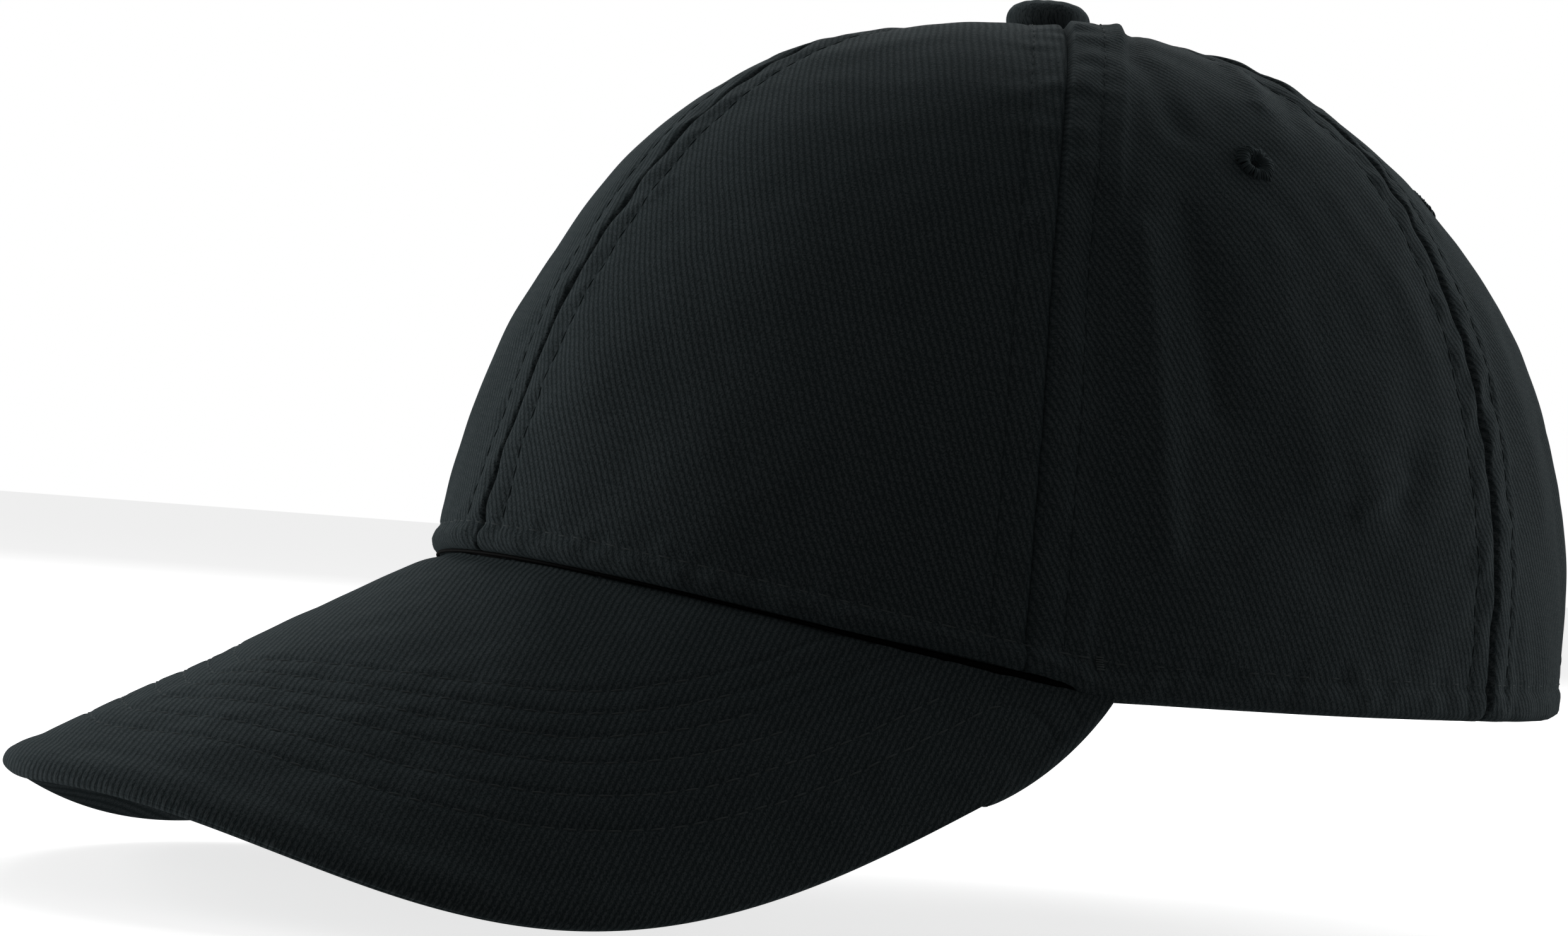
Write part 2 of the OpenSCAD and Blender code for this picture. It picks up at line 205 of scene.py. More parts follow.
class WallTable:
    """Arc length up the crown's wall against height share, for every azimuth from 0 to 180."""

    def __init__(self, azimuths=181, samples=1200):
        azimuth = np.linspace(0, 180, azimuths)[:, None]
        turn = np.linspace(0, 1, samples)[None, :]
        top = np.arccos(APEX_HOLE ** (profile_q(azimuth) / 2))
        h = np.sin(top * turn) ** (2 / profile_p(azimuth))
        points = crown_at_height(azimuth, h)
        steps = np.linalg.norm(np.diff(points, axis=1), axis=-1)
        along = np.concatenate([np.zeros((azimuths, 1)), np.cumsum(steps, 1)], 1)
        self.length = along[:, -1]
        self.shares = np.linspace(0, 1, 601)
        self.h = np.stack([
            np.interp(self.shares, along[i] / along[i, -1], h[i]) for i in range(azimuths)
        ])

    def look_up(self, azimuth, s):
        """(height share, wall length) at an azimuth and a share s of the way up."""
        a = np.clip(np.abs(azimuth), 0, 179.999)
        i = a.astype(int)
        f = a - i
        k = np.clip(s, 0, 1) * (len(self.shares) - 1)
        j = np.minimum(k.astype(int), len(self.shares) - 2)
        g = k - j
        low = mix(self.h[i, j], self.h[i, j + 1], g)
        high = mix(self.h[i + 1, j], self.h[i + 1, j + 1], g)
        return mix(low, high, f), mix(self.length[i], self.length[i + 1], f)


WALL = WallTable()


def crown(azimuth, s, inset=0.0):
    azimuth, s, inset = np.broadcast_arrays(*(np.asarray(x, float) for x in (azimuth, s, inset)))
    return crown_at_height(azimuth, WALL.look_up(azimuth, s)[0], inset)


def crown_frame(azimuth, s, inset=0.0):
    """Point, unit vector across (towards the wearer's left at the front), up, and outward normal."""
    azimuth, s = np.broadcast_arrays(np.asarray(azimuth, float), np.asarray(s, float))
    point = crown(azimuth, s, inset)
    across = unit(crown(azimuth + 0.1, s, inset) - crown(azimuth - 0.1, s, inset))
    low, high = np.clip(s - 0.003, 0, 1), np.clip(s + 0.003, 0, 1)
    up = unit(crown(azimuth, high, inset) - crown(azimuth, low, inset))
    normal = unit(np.cross(across, up))
    return point, across, up, normal


def mm_per_degree(azimuth, s):
    return np.linalg.norm(crown(azimuth + 0.5, s) - crown(azimuth - 0.5, s), axis=-1)


def share_at(azimuth, height):
    """Share s at a height in millimetres up the wall."""
    azimuth, height = np.broadcast_arrays(np.asarray(azimuth, float), np.asarray(height, float))
    return height / WALL.look_up(azimuth, np.zeros(azimuth.shape))[1]


def rise_turn(azimuth, s):
    """The frame's own measure of the way up, which its seams swing by."""
    h, _ = WALL.look_up(azimuth, s)
    top = np.arccos(APEX_HOLE ** (profile_q(azimuth) / 2))
    return np.arcsin(np.clip(h, 0, 1) ** (profile_p(azimuth) / 2)) / top


def front_seam(s):
    s = np.asarray(s, float)
    return SEAM_FRONT + SEAM_SWING * np.clip(rise_turn(np.full(s.shape, SEAM_FRONT), s), 0, 1) ** 4


def rear_seam(s):
    return np.full(np.shape(s), SEAM_REAR)


def centre_seam(s):
    return np.zeros(np.shape(s))


def arch_azimuth(angle, grow=0.0):
    """Azimuth of the rear opening's edge at an angle along it: 0 at its foot and 90 at its top."""
    return 180 - (ARCH_ANGLE + math.degrees(1) * grow / HALF_W) * cosd(angle)


def arch_share(angle, grow=0.0):
    azimuth = arch_azimuth(angle, grow)
    h = (ARCH_H + grow) * sind(angle) / CROWN_H
    shares = np.linspace(0, 1, 400)
    table = [
        np.interp(x, WALL.look_up(np.full(400, a), shares)[0], shares)
        for a, x in zip(np.ravel(azimuth), np.ravel(h))
    ]
    return np.reshape(table, np.shape(azimuth))


# ---- Relief of the crown's cloth: how far it stands off its smooth shape, in millimetres ----
SEAM_DEPTH = 1.05
SEAM_HALF = 0.48
TOPSTITCH_OFF = 6.0
BASE_STITCH_UP = 5.0
HEM_ROLL = 1.5
HEM_HANG = 1.15
ARCH_STITCH_OFF = 6.5
# The raised bands beside the seams: width and height, and how far down from the apex they are plain
FRONT_BAND = (10.5, 1.05)
REAR_BAND = (8.0, 0.60)
BAND_TOP_MM = 34.0
DEEPEST = -2.2

# Folds of the panels: (azimuth, height share) at each end, half width and height in mm
FOLDS = [
    # Left side panel
    ((66.6, 0.70), (67.0, 0.24), 3.2, -1.05),
    ((71.2, 0.66), (73.8, 0.22), 3.2, 1.00),
    ((76.4, 0.70), (78.2, 0.42), 2.8, -0.75),
    ((78.0, 0.62), (80.5, 0.30), 4.0, -0.35),
    ((85.5, 0.60), (88.5, 0.36), 5.0, 0.30),
    ((100.5, 0.345), (99.5, 0.315), 4.5, -1.15),
    ((93.4, 0.285), (98.8, 0.335), 2.0, 0.55),
    ((101.8, 0.95), (94.2, 0.885), 2.4, 0.60),
    ((107.0, 0.93), (99.5, 0.865), 3.0, -0.55),
    ((76.5, 0.955), (77.8, 0.83), 3.0, -0.55),
    ((104.5, 0.62), (107.0, 0.40), 4.5, 0.35),
    ((83.0, 0.20), (90.0, 0.11), 5.0, 0.25),
    # Right side panel
    ((-67.5, 0.60), (-68.0, 0.30), 3.6, -0.60),
    ((-72.0, 0.68), (-74.5, 0.26), 4.0, 0.70),
    ((-84.0, 0.52), (-82.0, 0.30), 4.5, -0.35),
    ((-101.0, 0.40), (-97.5, 0.34), 4.5, -0.80),
    ((-95.0, 0.93), (-99.0, 0.88), 2.6, 0.50),
    ((-104.0, 0.66), (-106.5, 0.42), 4.5, 0.35),
    # Back panels
    ((124.0, 0.60), (127.0, 0.30), 4.5, 0.45),
    ((133.0, 0.42), (137.0, 0.20), 4.0, -0.50),
    ((-126.0, 0.55), (-129.0, 0.28), 4.5, 0.40),
    ((-135.0, 0.46), (-139.0, 0.22), 4.0, -0.45),
    ((150.0, 0.80), (160.0, 0.70), 4.0, 0.35),
    # Front panels
    ((12.0, 0.30), (30.0, 0.24), 7.0, 0.30),
    ((-20.0, 0.42), (-38.0, 0.34), 7.0, 0.30),
    ((50.0, 0.30), (55.0, 0.12), 4.0, -0.25),
]


class SoftNoise:
    """A fixed sum of waves through space: gentle, even unevenness of about unit height."""

    def __init__(self, shortest, longest, waves):
        direction = unit(rng.normal(size=(waves, 3)))
        length = np.exp(rng.uniform(np.log(shortest), np.log(longest), waves))
        self.k = direction * (2 * np.pi / length)[:, None]
        self.phase = rng.uniform(0, 2 * np.pi, waves)
        self.scale = math.sqrt(2 / waves)

    def __call__(self, points):
        total = np.zeros(points.shape[:-1])
        for k, phase in zip(self.k, self.phase):
            total += np.sin(points @ k + phase)
        return total * self.scale


BROAD_NOISE = SoftNoise(26, 70, 14)
FINE_NOISE = SoftNoise(7, 16, 18)
PUCKER_NOISE = SoftNoise(5, 11, 18)


def fold_relief(points):
    """Height of the folds: each is a round ridge or furrow along its own line."""
    total = np.zeros(points.shape[:-1])
    low, high = points.reshape(-1, 3).min(0), points.reshape(-1, 3).max(0)
    for start, end, width, height in FOLDS:
        steps = np.linspace(0, 1, 16)
        line = crown_at_height(mix(start[0], end[0], steps), mix(start[1], end[1], steps))
        if (line.max(0) < low - 3 * width).any() or (line.min(0) > high + 3 * width).any():
            continue
        nearest = np.full(points.shape[:-1], 1e9)
        for a, b in zip(line[:-1], line[1:]):
            t = np.clip((points - a) @ (b - a) / ((b - a) @ (b - a)), 0, 1)
            away = np.linalg.norm(points - a - t[..., None] * (b - a), axis=-1)
            nearest = np.minimum(nearest, away)
        total += height * bell(nearest, width)
    return total


def seam_relief(d, points):
    """Groove, puffed flanks and topstitch furrows beside a seam, d millimetres away from it."""
    away = np.abs(d)
    groove = -SEAM_DEPTH * np.exp(-(away / SEAM_HALF) ** 1.6)
    flank = 0.22 * bell(away - 2.6, 2.2)
    furrow = -0.16 * bell(away - TOPSTITCH_OFF, 0.7)
    pucker = 0.16 * PUCKER_NOISE(points) * bell(away - 1.5, 6.5)
    return groove + flank + furrow + pucker


def corner_gap(side):
    """How far the hem stands off the visor, from 0 to 1: most just before the visor's corners."""
    return smooth(side, 38, 61) * (1 - smooth(side, 63.5, 68.5))


def edge_roll(from_edge, radius):
    """How far a rounded edge has turned under, at a distance in from the edge."""
    return radius - np.sqrt(radius ** 2 - np.clip(radius - from_edge, 0, radius) ** 2)


def crown_relief(azimuth, s):
    """Height of the cloth over the smooth crown, and its inward roll at the hem."""
    azimuth, s = np.broadcast_arrays(np.asarray(azimuth, float), np.asarray(s, float))
    points = crown(azimuth, s)
    side = np.abs(azimuth)
    scale = mm_per_degree(azimuth, s)
    up = s * WALL.look_up(azimuth, s)[1]
    from_top = (1 - s) * WALL.look_up(azimuth, s)[1]
    fade = smooth(from_top, 3, 24)
    to_front = (side - front_seam(s)) * scale
    to_rear = (side - SEAM_REAR) * scale
    to_back = (180 - side) * scale
    to_centre = side * scale
    relief = seam_relief(to_front, points) + seam_relief(to_rear, points)
    relief += seam_relief(to_centre, points)
    relief += seam_relief(to_back, points) * (points[..., 2] > ARCH_H + 1)
    # The seam allowances lie towards the back, as a raised band that is plainest near the apex
    for d, (width, height) in ((to_front, FRONT_BAND), (to_rear, REAR_BAND)):
        band = smooth(d, 0.3, 1.2) * (1 - smooth(d, width - 0.7, width + 0.8))
        ridge = 0.45 * bell(d - width + 1.1, 1.2) - 0.40 * bell(d - width - 1.9, 1.6)
        strength = 0.22 + 0.78 * (1 - smooth(from_top, BAND_TOP_MM * 0.7, BAND_TOP_MM * 1.3))
        relief += height * (band + ridge) * strength
    relief = relief * fade
    relief += 0.32 * BROAD_NOISE(points) * smooth(from_top, 6, 24)
    relief += 0.05 * FINE_NOISE(points)
    relief += fold_relief(points)
    # The hem: a soft band under its topstitch, rolled inwards at the very edge. It swells over
    # the visor, where the visor's own seam allowance fills it
    over_visor = 1 - smooth(side, VISOR_CORNER - 4, VISOR_CORNER + 6)
    gap = corner_gap(side)
    puff = (0.25 + 0.75 * over_visor + 0.45 * gap) * bell(up - 2.6 - 0.7 * gap, 1.8)
    hem = puff - 0.34 * bell(up - BASE_STITCH_UP, 0.6)
    hem += 0.12 * PUCKER_NOISE(points * 1.3) * bell(up - 4.0, 3.5)
    roll = edge_roll(up, HEM_ROLL + 0.7 * gap)
    # At the visor's corner the hem comes right down, so that no light shows between them
    flat_corner = 1 - 0.9 * bell(side - VISOR_CORNER + 0.5, 3.2)
    relief += hem - roll * (0.8 + 0.5 * over_visor) * flat_corner
    return np.maximum(relief, DEEPEST)


def arch_relief(from_edge):
    """Change of relief beside the rear opening, whose edge is turned in and stitched."""
    furrow = 0.22 * bell(from_edge - ARCH_STITCH_OFF, 0.75)
    return 0.25 * bell(from_edge - 3, 2) - furrow - 0.8 * edge_roll(from_edge, HEM_ROLL)


# ---- Meshes ----
def make_object(name, points, faces, material, uv=None, body="cap"):
    """A smooth-shaded mesh from points in millimetres, which rides on a body. uv is per point."""
    points = np.asarray(points, float).reshape(-1, 3) * MM
    mesh = bpy.data.meshes.new(name)
    sizes = np.array([len(f) for f in faces])
    corners = np.concatenate(list(faces))
    mesh.vertices.add(len(points))
    mesh.vertices.foreach_set("co", points.ravel())
    mesh.loops.add(len(corners))
    mesh.loops.foreach_set("vertex_index", corners.astype(np.int32))
    mesh.polygons.add(len(sizes))
    mesh.polygons.foreach_set("loop_start", (np.cumsum(sizes) - sizes).astype(np.int32))
    mesh.polygons.foreach_set("use_smooth", np.ones(len(sizes), bool))
    mesh.update(calc_edges=True)
    if uv is not None:
        layer = mesh.uv_layers.new(name="cloth")
        layer.data.foreach_set("uv", np.asarray(uv, float).reshape(-1, 2)[corners].ravel())
    mesh.validate()
    mesh.materials.append(material)
    piece = bpy.data.objects.new(name, mesh)
    bpy.context.scene.collection.objects.link(piece)
    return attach(piece, body)


# For each side of a cell: the way out over it, and its two corners in order
SHELL_WALLS = (
    (-1, 0, (0, 1), (0, 0)),
    (1, 0, (1, 0), (1, 1)),
    (0, -1, (0, 0), (1, 0)),
    (0, 1, (1, 1), (0, 1)),
)


def shell_faces(cols, rows, missing=None):
    """Quads of a closed sheet between two grids of cols by rows points, with cells left out."""
    keep = np.ones((cols - 1, rows - 1), bool) if missing is None else ~missing
    index = np.arange(cols * rows).reshape(cols, rows)
    c, r = np.nonzero(keep)
    outer = np.stack([index[c, r], index[c + 1, r], index[c + 1, r + 1], index[c, r + 1]], 1)
    inner = outer[:, ::-1] + cols * rows
    framed = np.zeros((cols + 1, rows + 1), bool)
    framed[1:-1, 1:-1] = keep
    walls = []
    for dc, dr, first, second in SHELL_WALLS:
        edge = framed[1:-1, 1:-1] & ~framed[1 + dc:cols + dc, 1 + dr:rows + dr]
        c, r = np.nonzero(edge)
        a = index[c + first[0], r + first[1]]
        b = index[c + second[0], r + second[1]]
        walls.append(np.stack([b, a, a + cols * rows, b + cols * rows], 1))
    return np.concatenate([outer, inner, *walls])


def make_sheet(name, outer, inner, uv, material, missing=None):
    """A closed sheet of cloth between an outer and an inner grid, facing outwards."""
    cols, rows = outer.shape[:2]
    faces = shell_faces(cols, rows, missing)
    c, r = cols // 2, rows // 2
    facing = np.cross(outer[c + 1, r] - outer[c, r], outer[c, r + 1] - outer[c, r])
    if facing @ (outer[c, r] - inner[c, r]) < 0:
        faces = faces[:, ::-1]
    points = np.concatenate([outer.reshape(-1, 3), inner.reshape(-1, 3)])
    return make_object(name, points, faces, material, np.concatenate([uv.reshape(-1, 2)] * 2))


def make_cloth(
    node, outer, inner, uv, material, cut=None, suffix="_cloth", missing=None,
):
    """The cloth that stands for a node of the frame. cut, its flat width and length in mm, is not used.

    Without cut, the flat size is the extent of the cloth's own coordinates.
    """
    piece = make_sheet(node + suffix, outer, inner, uv, material, missing)
    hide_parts(node)
    if cut is None:
        cut = np.ptp(uv.reshape(-1, 2), axis=0)


def spaced(length, fine, coarse, margin):
    """Shares from 0 to 1 along a length: fine steps within margin of both ends, coarse between."""
    places = [0.0]
    while places[-1] < length / 2:
        near = smooth(np.array(places[-1]), margin * 0.6, margin * 1.4)
        places.append(places[-1] + float(mix(fine, coarse, near)))
    half = np.array(places) / places[-1] / 2
    return np.concatenate([half, 1 - half[-2::-1]])


def tubes(paths, radius, sides=6):
    """Points and faces of many round tubes. paths is an array of tubes, stations and 3."""
    paths = np.asarray(paths, float)
    count, stations, _ = paths.shape
    along = unit(np.gradient(paths, axis=1))
    helper = np.where(np.abs(along[..., 2:]) < 0.9, [0.0, 0.0, 1.0], [1.0, 0.0, 0.0])
    first = unit(np.cross(along, helper))
    second = np.cross(along, first)
    turn = np.linspace(0, 2 * np.pi, sides, endpoint=False)
    radius = np.broadcast_to(radius, (count, stations))[..., None, None]
    ring = np.cos(turn)[:, None] * first[:, :, None] + np.sin(turn)[:, None] * second[:, :, None]
    points = paths[:, :, None] + radius * ring
    index = np.arange(count * stations * sides).reshape(count, stations, sides)
    a, b = index[:, :-1], index[:, 1:]
    quads = np.stack([a, b, np.roll(b, -1, 2), np.roll(a, -1, 2)], -1).reshape(-1, 4)
    faces = [list(q) for q in quads]
    for tube in index:
        faces.append(list(tube[0]))
        faces.append(list(tube[-1][::-1]))
    return points.reshape(-1, 3), faces


STITCH_PROFILE = np.array([0.35, 0.85, 1.0, 1.0, 0.85, 0.35])
STITCH_WANDER = 0.06


def stitch_paths(line, normal, stitch, gap, rise):
    """Short arched thread runs along a line of points, one per stitch."""
    along = distances_along(line)
    count = int(along[-1] // (stitch + gap))
    starts = (np.arange(count) + 0.5) * along[-1] / count - stitch / 2
    share = np.linspace(0, 1, len(STITCH_PROFILE))
    where = starts[:, None] + share * stitch
    point = np.stack([np.interp(where, along, line[:, i]) for i in range(3)], -1)
    out = unit(np.stack([np.interp(where, along, normal[:, i]) for i in range(3)], -1))
    side = unit(np.cross(out, np.gradient(point, axis=1)))
    lift = rise * np.sin(np.pi * share) ** 0.5 - rise * 0.8
    sway = rng.normal(size=(count, 1)) + (share - 0.5) * rng.normal(size=(count, 1))
    return point + out * lift[None, :, None] + side * (STITCH_WANDER * sway)[..., None]


def make_threads(name, paths, radius, material, sides=6):
    """One piece of thread from many paths."""
    points, faces = tubes(paths, radius, sides)
    piece = make_object(name, points, faces, material)
    return piece


# ---- Materials ----
class Shader:
    """Builds a material's node tree: each method adds a node and returns its output."""

    def __init__(self, name):
        self.material = bpy.data.materials.new(name)
        self.material.use_nodes = True
        self.tree = self.material.node_tree
        self.surface = self.tree.nodes["Principled BSDF"]

    def node(self, kind, inputs=(), **settings):
        made = self.tree.nodes.new(kind)
        for key, value in settings.items():
            setattr(made, key, value)
        for key, value in dict(inputs).items():
            self.put(made.inputs[key], value)
        return made

    def put(self, socket, value):
        if isinstance(value, bpy.types.NodeSocket):
            self.tree.links.new(value, socket)
        else:
            socket.default_value = value

    def math(self, operation, a, b=0.0, c=0.0):
        return self.node("ShaderNodeMath", {0: a, 1: b, 2: c}, operation=operation).outputs[0]

    def times(self, a, b):
        return self.math("MULTIPLY", a, b)

    def times_plus(self, a, b, c):
        return self.math("MULTIPLY_ADD", a, b, c)

    def wave(self, turns):
        """Sine of a number of half turns."""
        return self.math("SINE", self.times(turns, math.pi))

    def noise(self, vector, scale, detail=2.0, roughness=0.5):
        made = self.node(
            "ShaderNodeTexNoise",
            {"Vector": vector, "Scale": scale, "Detail": detail, "Roughness": roughness},
        )
        return made.outputs["Fac"]

    def spread(self, value, from_low, from_high, to_low, to_high):
        inputs = {0: value, 1: from_low, 2: from_high, 3: to_low, 4: to_high}
        return self.node("ShaderNodeMapRange", inputs).outputs["Result"]

    def ramp(self, value, dark, light):
        made = self.node("ShaderNodeMix", {0: value}, data_type="RGBA")
        made.inputs[6].default_value = (*dark, 1)
        made.inputs[7].default_value = (*light, 1)
        return made.outputs[2]

    def bump(self, height, depth, strength=1.0):
        """A bumped normal, its depth in millimetres."""
        inputs = {"Height": height, "Distance": depth * MM, "Strength": strength}
        return self.node("ShaderNodeBump", inputs).outputs["Normal"]

    def finish(self, values):
        """Sets the surface's inputs by name and returns the material."""
        for name, value in values.items():
            self.put(self.surface.inputs[name], value)
        return self.material


def cloth_coordinates(shader):
    """(vector, u, v) of the cloth's own coordinates, in millimetres."""
    uv = shader.node("ShaderNodeUVMap", uv_map="cloth").outputs["UV"]
    split = shader.node("ShaderNodeSeparateXYZ", {0: uv})
    return uv, split.outputs["X"], split.outputs["Y"]


TWILL_DARK = (0.0001, 0.0001, 0.0001)
TWILL_LIGHT = (0.0500, 0.0551, 0.0572)
TWILL_PITCH = 1.12
TWILL_FLOAT = 2.1
FLOAT_STEP = 0.381
TWILL_SHEEN = 0.145
TWILL_SHEEN_ROUGHNESS = 0.80
TWILL_SHEEN_TINT = (0.68, 0.93, 1.0, 1.0)


def make_twill(name, angle, pitch=TWILL_PITCH, depth=0.26, rib=0.85):
    """Brushed cotton twill: slanted ribs of staggered yarn floats under a short, uneven nap."""
    shader = Shader(name)
    uv, u, v = cloth_coordinates(shader)
    slow = shader.math("SUBTRACT", shader.noise(uv, 0.07, 1), 0.5)
    quick = shader.math("SUBTRACT", shader.noise(uv, 2.4, 3, 0.7), 0.5)
    wander = shader.times_plus(quick, 1.1, slow)
    c, s = math.cos(math.radians(angle)), math.sin(math.radians(angle))
    across = shader.times_plus(u, c, shader.times_plus(v, s, wander))
    along = shader.math("SUBTRACT", shader.times(v, c), shader.times(u, s))
    ribs = shader.math("DIVIDE", across, pitch)
    rounded = shader.wave(shader.math("FRACT", ribs))
    loose = shader.times(shader.noise(uv, 0.5, 2), 1.2)
    shift = shader.times_plus(shader.math("FLOOR", ribs), FLOAT_STEP, loose)
    floats = shader.math("ADD", shader.math("DIVIDE", along, TWILL_FLOAT), shift)
    yarn = shader.wave(shader.math("FRACT", floats))
    fuzz = shader.noise(uv, 2.9, 3, 0.75)
    height = shader.times_plus(fuzz, 0.9, shader.times(rounded, rib * 0.75))
    lit_rib = shader.times_plus(shader.math("POWER", rounded, 1.7), rib, 1 - rib)
    lit_yarn = shader.times_plus(yarn, 0.45, 0.55)
    lit_fuzz = shader.spread(fuzz, 0.38, 0.70, 0.0, 2.6)
    patches = shader.spread(shader.noise(uv, 0.16, 4, 0.7), 0.3, 0.7, 0.84, 1.14)
    shade = shader.times(shader.times(shader.times(lit_rib, lit_yarn), lit_fuzz), patches)
    lint = shader.spread(shader.noise(uv, 1.15, 2), 0.785, 0.82, 0.0, 1.4)
    return shader.finish({
        "Base Color": shader.ramp(shader.math("ADD", shade, lint), TWILL_DARK, TWILL_LIGHT),
        "Normal": shader.bump(height, depth),
        "Roughness": 0.88,
        "Specular IOR Level": 0.06,
        "Sheen Weight": TWILL_SHEEN,
        "Sheen Roughness": TWILL_SHEEN_ROUGHNESS,
        "Sheen Tint": TWILL_SHEEN_TINT,
    })


def make_thread(name, colour, sheen=TWILL_SHEEN):
    """Spun polyester thread, with the twist of its plies."""
    shader = Shader(name)
    place = shader.node("ShaderNodeTexCoord").outputs["Object"]
    fibre = shader.noise(place, 2400, 3, 0.6)
    return shader.finish({
        "Base Color": shader.ramp(fibre, tuple(c * 0.5 for c in colour), tuple(c * 1.7 for c in colour)),
        "Normal": shader.bump(fibre, 0.05, 0.8),
        "Roughness": 0.70,
        "Specular IOR Level": 0.05,
        "Sheen Weight": sheen,
        "Sheen Roughness": TWILL_SHEEN_ROUGHNESS,
        "Sheen Tint": TWILL_SHEEN_TINT,
    })


def make_plain_weave(name, dark, light, thread, depth=0.12, roughness=0.85, specular=0.15):
    """A flat plain weave, over and under at the given thread spacing."""
    shader = Shader(name)
    uv, u, v = cloth_coordinates(shader)
    across = shader.math("SINE", shader.times(u, math.pi / thread))
    along = shader.math("SINE", shader.times(v, math.pi / thread))
    checks = shader.times_plus(shader.times(across, along), 0.5, 0.5)
    fuzz = shader.noise(uv, 1.6 / thread, 3, 0.6)
    height = shader.times_plus(fuzz, 0.5, checks)
    patches = shader.spread(shader.noise(uv, 0.12, 3, 0.6), 0.3, 0.7, 0.5, 0.8)
    return shader.finish({
        "Base Color": shader.ramp(shader.times(height, patches), dark, light),
        "Normal": shader.bump(height, depth),
        "Roughness": roughness,
        "Specular IOR Level": specular,
        "Sheen Weight": 0.06,
    })


def make_metal(name, colour, worn, roughness):
    """Plated metal with brushing, cloudy tarnish and brighter worn edges."""
    shader = Shader(name)
    place = shader.node("ShaderNodeTexCoord").outputs["Object"]
    stretch = shader.node("ShaderNodeMapping", {"Vector": place, "Scale": (900.0, 900.0, 60.0)})
    brush = shader.noise(stretch.outputs[0], 2.0, 4, 0.7)
    cloud = shader.noise(place, 260, 4, 0.6)
    edge = shader.node("ShaderNodeNewGeometry").outputs["Pointiness"]
    wear = shader.spread(shader.times_plus(cloud, 0.05, edge), 0.53, 0.58, 0.0, 1.0)
    tarnish = shader.spread(cloud, 0.3, 0.7, 0.0, 0.4)
    base = shader.ramp(tarnish, colour, tuple(c * 0.45 for c in colour))
    blended = shader.node("ShaderNodeMix", {0: wear, 6: base}, data_type="RGBA")
    blended.inputs[7].default_value = (*worn, 1)
    return shader.finish({
        "Base Color": blended.outputs[2],
        "Metallic": 1.0,
        "Roughness": shader.spread(brush, 0.2, 0.8, roughness - 0.08, roughness + 0.14),
        "Normal": shader.bump(brush, 0.01, 0.35),
    })


def make_plastic(name, colour):
    """Moulded sheet with a fine grain."""
    shader = Shader(name)
    place = shader.node("ShaderNodeTexCoord").outputs["Object"]
    grain = shader.noise(place, 1400, 3, 0.6)
    return shader.finish({
        "Base Color": shader.ramp(grain, tuple(c * 0.85 for c in colour), colour),
        "Normal": shader.bump(grain, 0.02, 0.4),
        "Roughness": 0.45,
    })


TWILL_SLANT = 29.0
VISOR_SLANT = 42.0
PANEL_TWILL = make_twill("panel_twill", TWILL_SLANT)
VISOR_TWILL = make_twill("visor_twill", VISOR_SLANT, pitch=1.22, rib=0.95)
TRIM_TWILL = make_twill("trim_twill", 40.0, pitch=1.0, depth=0.14)
BUTTON_TWILL = make_twill("button_twill", 15.0, pitch=0.8, depth=0.20, rib=0.15)
THREAD = make_thread("black_thread", (0.0070, 0.0082, 0.0086), sheen=0.12)
# Black thread made lighter than the seams' thread: a painted highlight for the light the raised stitch
# rows catch
PAINTED_HIGHLIGHT_THREAD = make_thread("thread_painted_highlight", (0.0520, 0.0550, 0.0540))
# Near-black thread without sheen: painted shade for the crevice under the crown's hem
PAINTED_SHADE_BLACK = make_thread("painted_shade_black", (0.0004, 0.0005, 0.0005), sheen=0.0)
EYELET_THREAD = make_thread("eyelet_thread", (0.0200, 0.0240, 0.0250))
TAPE_WEAVE = make_plain_weave("tape_weave", (0.003, 0.003, 0.004), (0.020, 0.021, 0.023), 0.32)
BAND_WEAVE = make_plain_weave("sweatband_weave", (0.004, 0.004, 0.005), (0.026, 0.028, 0.030), 0.42)
BUCKRAM_WEAVE = make_plain_weave("buckram_weave", (0.010, 0.010, 0.011), (0.060, 0.061, 0.063), 0.9, 0.3)
LABEL_SATIN = make_plain_weave(
    "label_satin", (0.50, 0.50, 0.49), (0.86, 0.86, 0.84), 0.16, depth=0.04, roughness=0.5, specular=0.4)
BUCKLE_METAL = make_metal("buckle_brass", (0.31, 0.24, 0.145), (0.66, 0.56, 0.38), 0.36)
BUTTON_METAL = make_metal("button_steel", (0.46, 0.46, 0.45), (0.72, 0.72, 0.70), 0.34)
BOARD_PLASTIC = make_plastic("visor_board_plastic", (0.62, 0.63, 0.64))


# ---- Crown panels ----
EYELETS = [("eyelet_side", 87.0, 0.785), ("eyelet_back", 143.0, 0.785)]
EYELET_R = 3.4
EYELET_HOLE_R = 1.0
CUT_HOLE_R = 0.55
DRAWN_R = 3.2
DRAWN_HOLE_R = 1.3
SIDES = (("left", 1), ("right", -1))
PANEL_STEP = 0.62
SEAM_STEP = 0.30


def share_of_height(azimuth, h):
    shares = np.linspace(0, 1, 2000)
    return float(np.interp(h, WALL.look_up(np.full(2000, abs(azimuth)), shares)[0], shares))


def open_holes(points, side):
    """Draws the cloth back round each eyelet on this grid, and returns which cells are left out."""
    missing = np.zeros((points.shape[0] - 1, points.shape[1] - 1), bool)
    middles = (points[1:, 1:] + points[:-1, :-1]) / 2
    for _, azimuth, h in EYELETS:
        centre = crown_at_height(side * azimuth, h)
        offset = points - centre
        reach = np.linalg.norm(offset, axis=-1, keepdims=True)
        drawn = DRAWN_HOLE_R + reach * (DRAWN_R - DRAWN_HOLE_R) / DRAWN_R
        pushed = centre + offset / np.maximum(reach, 1e-6) * drawn
        missing |= np.linalg.norm(middles - centre, axis=-1) < CUT_HOLE_R
        points[...] = np.where(reach < DRAWN_R, pushed, points)
    return missing


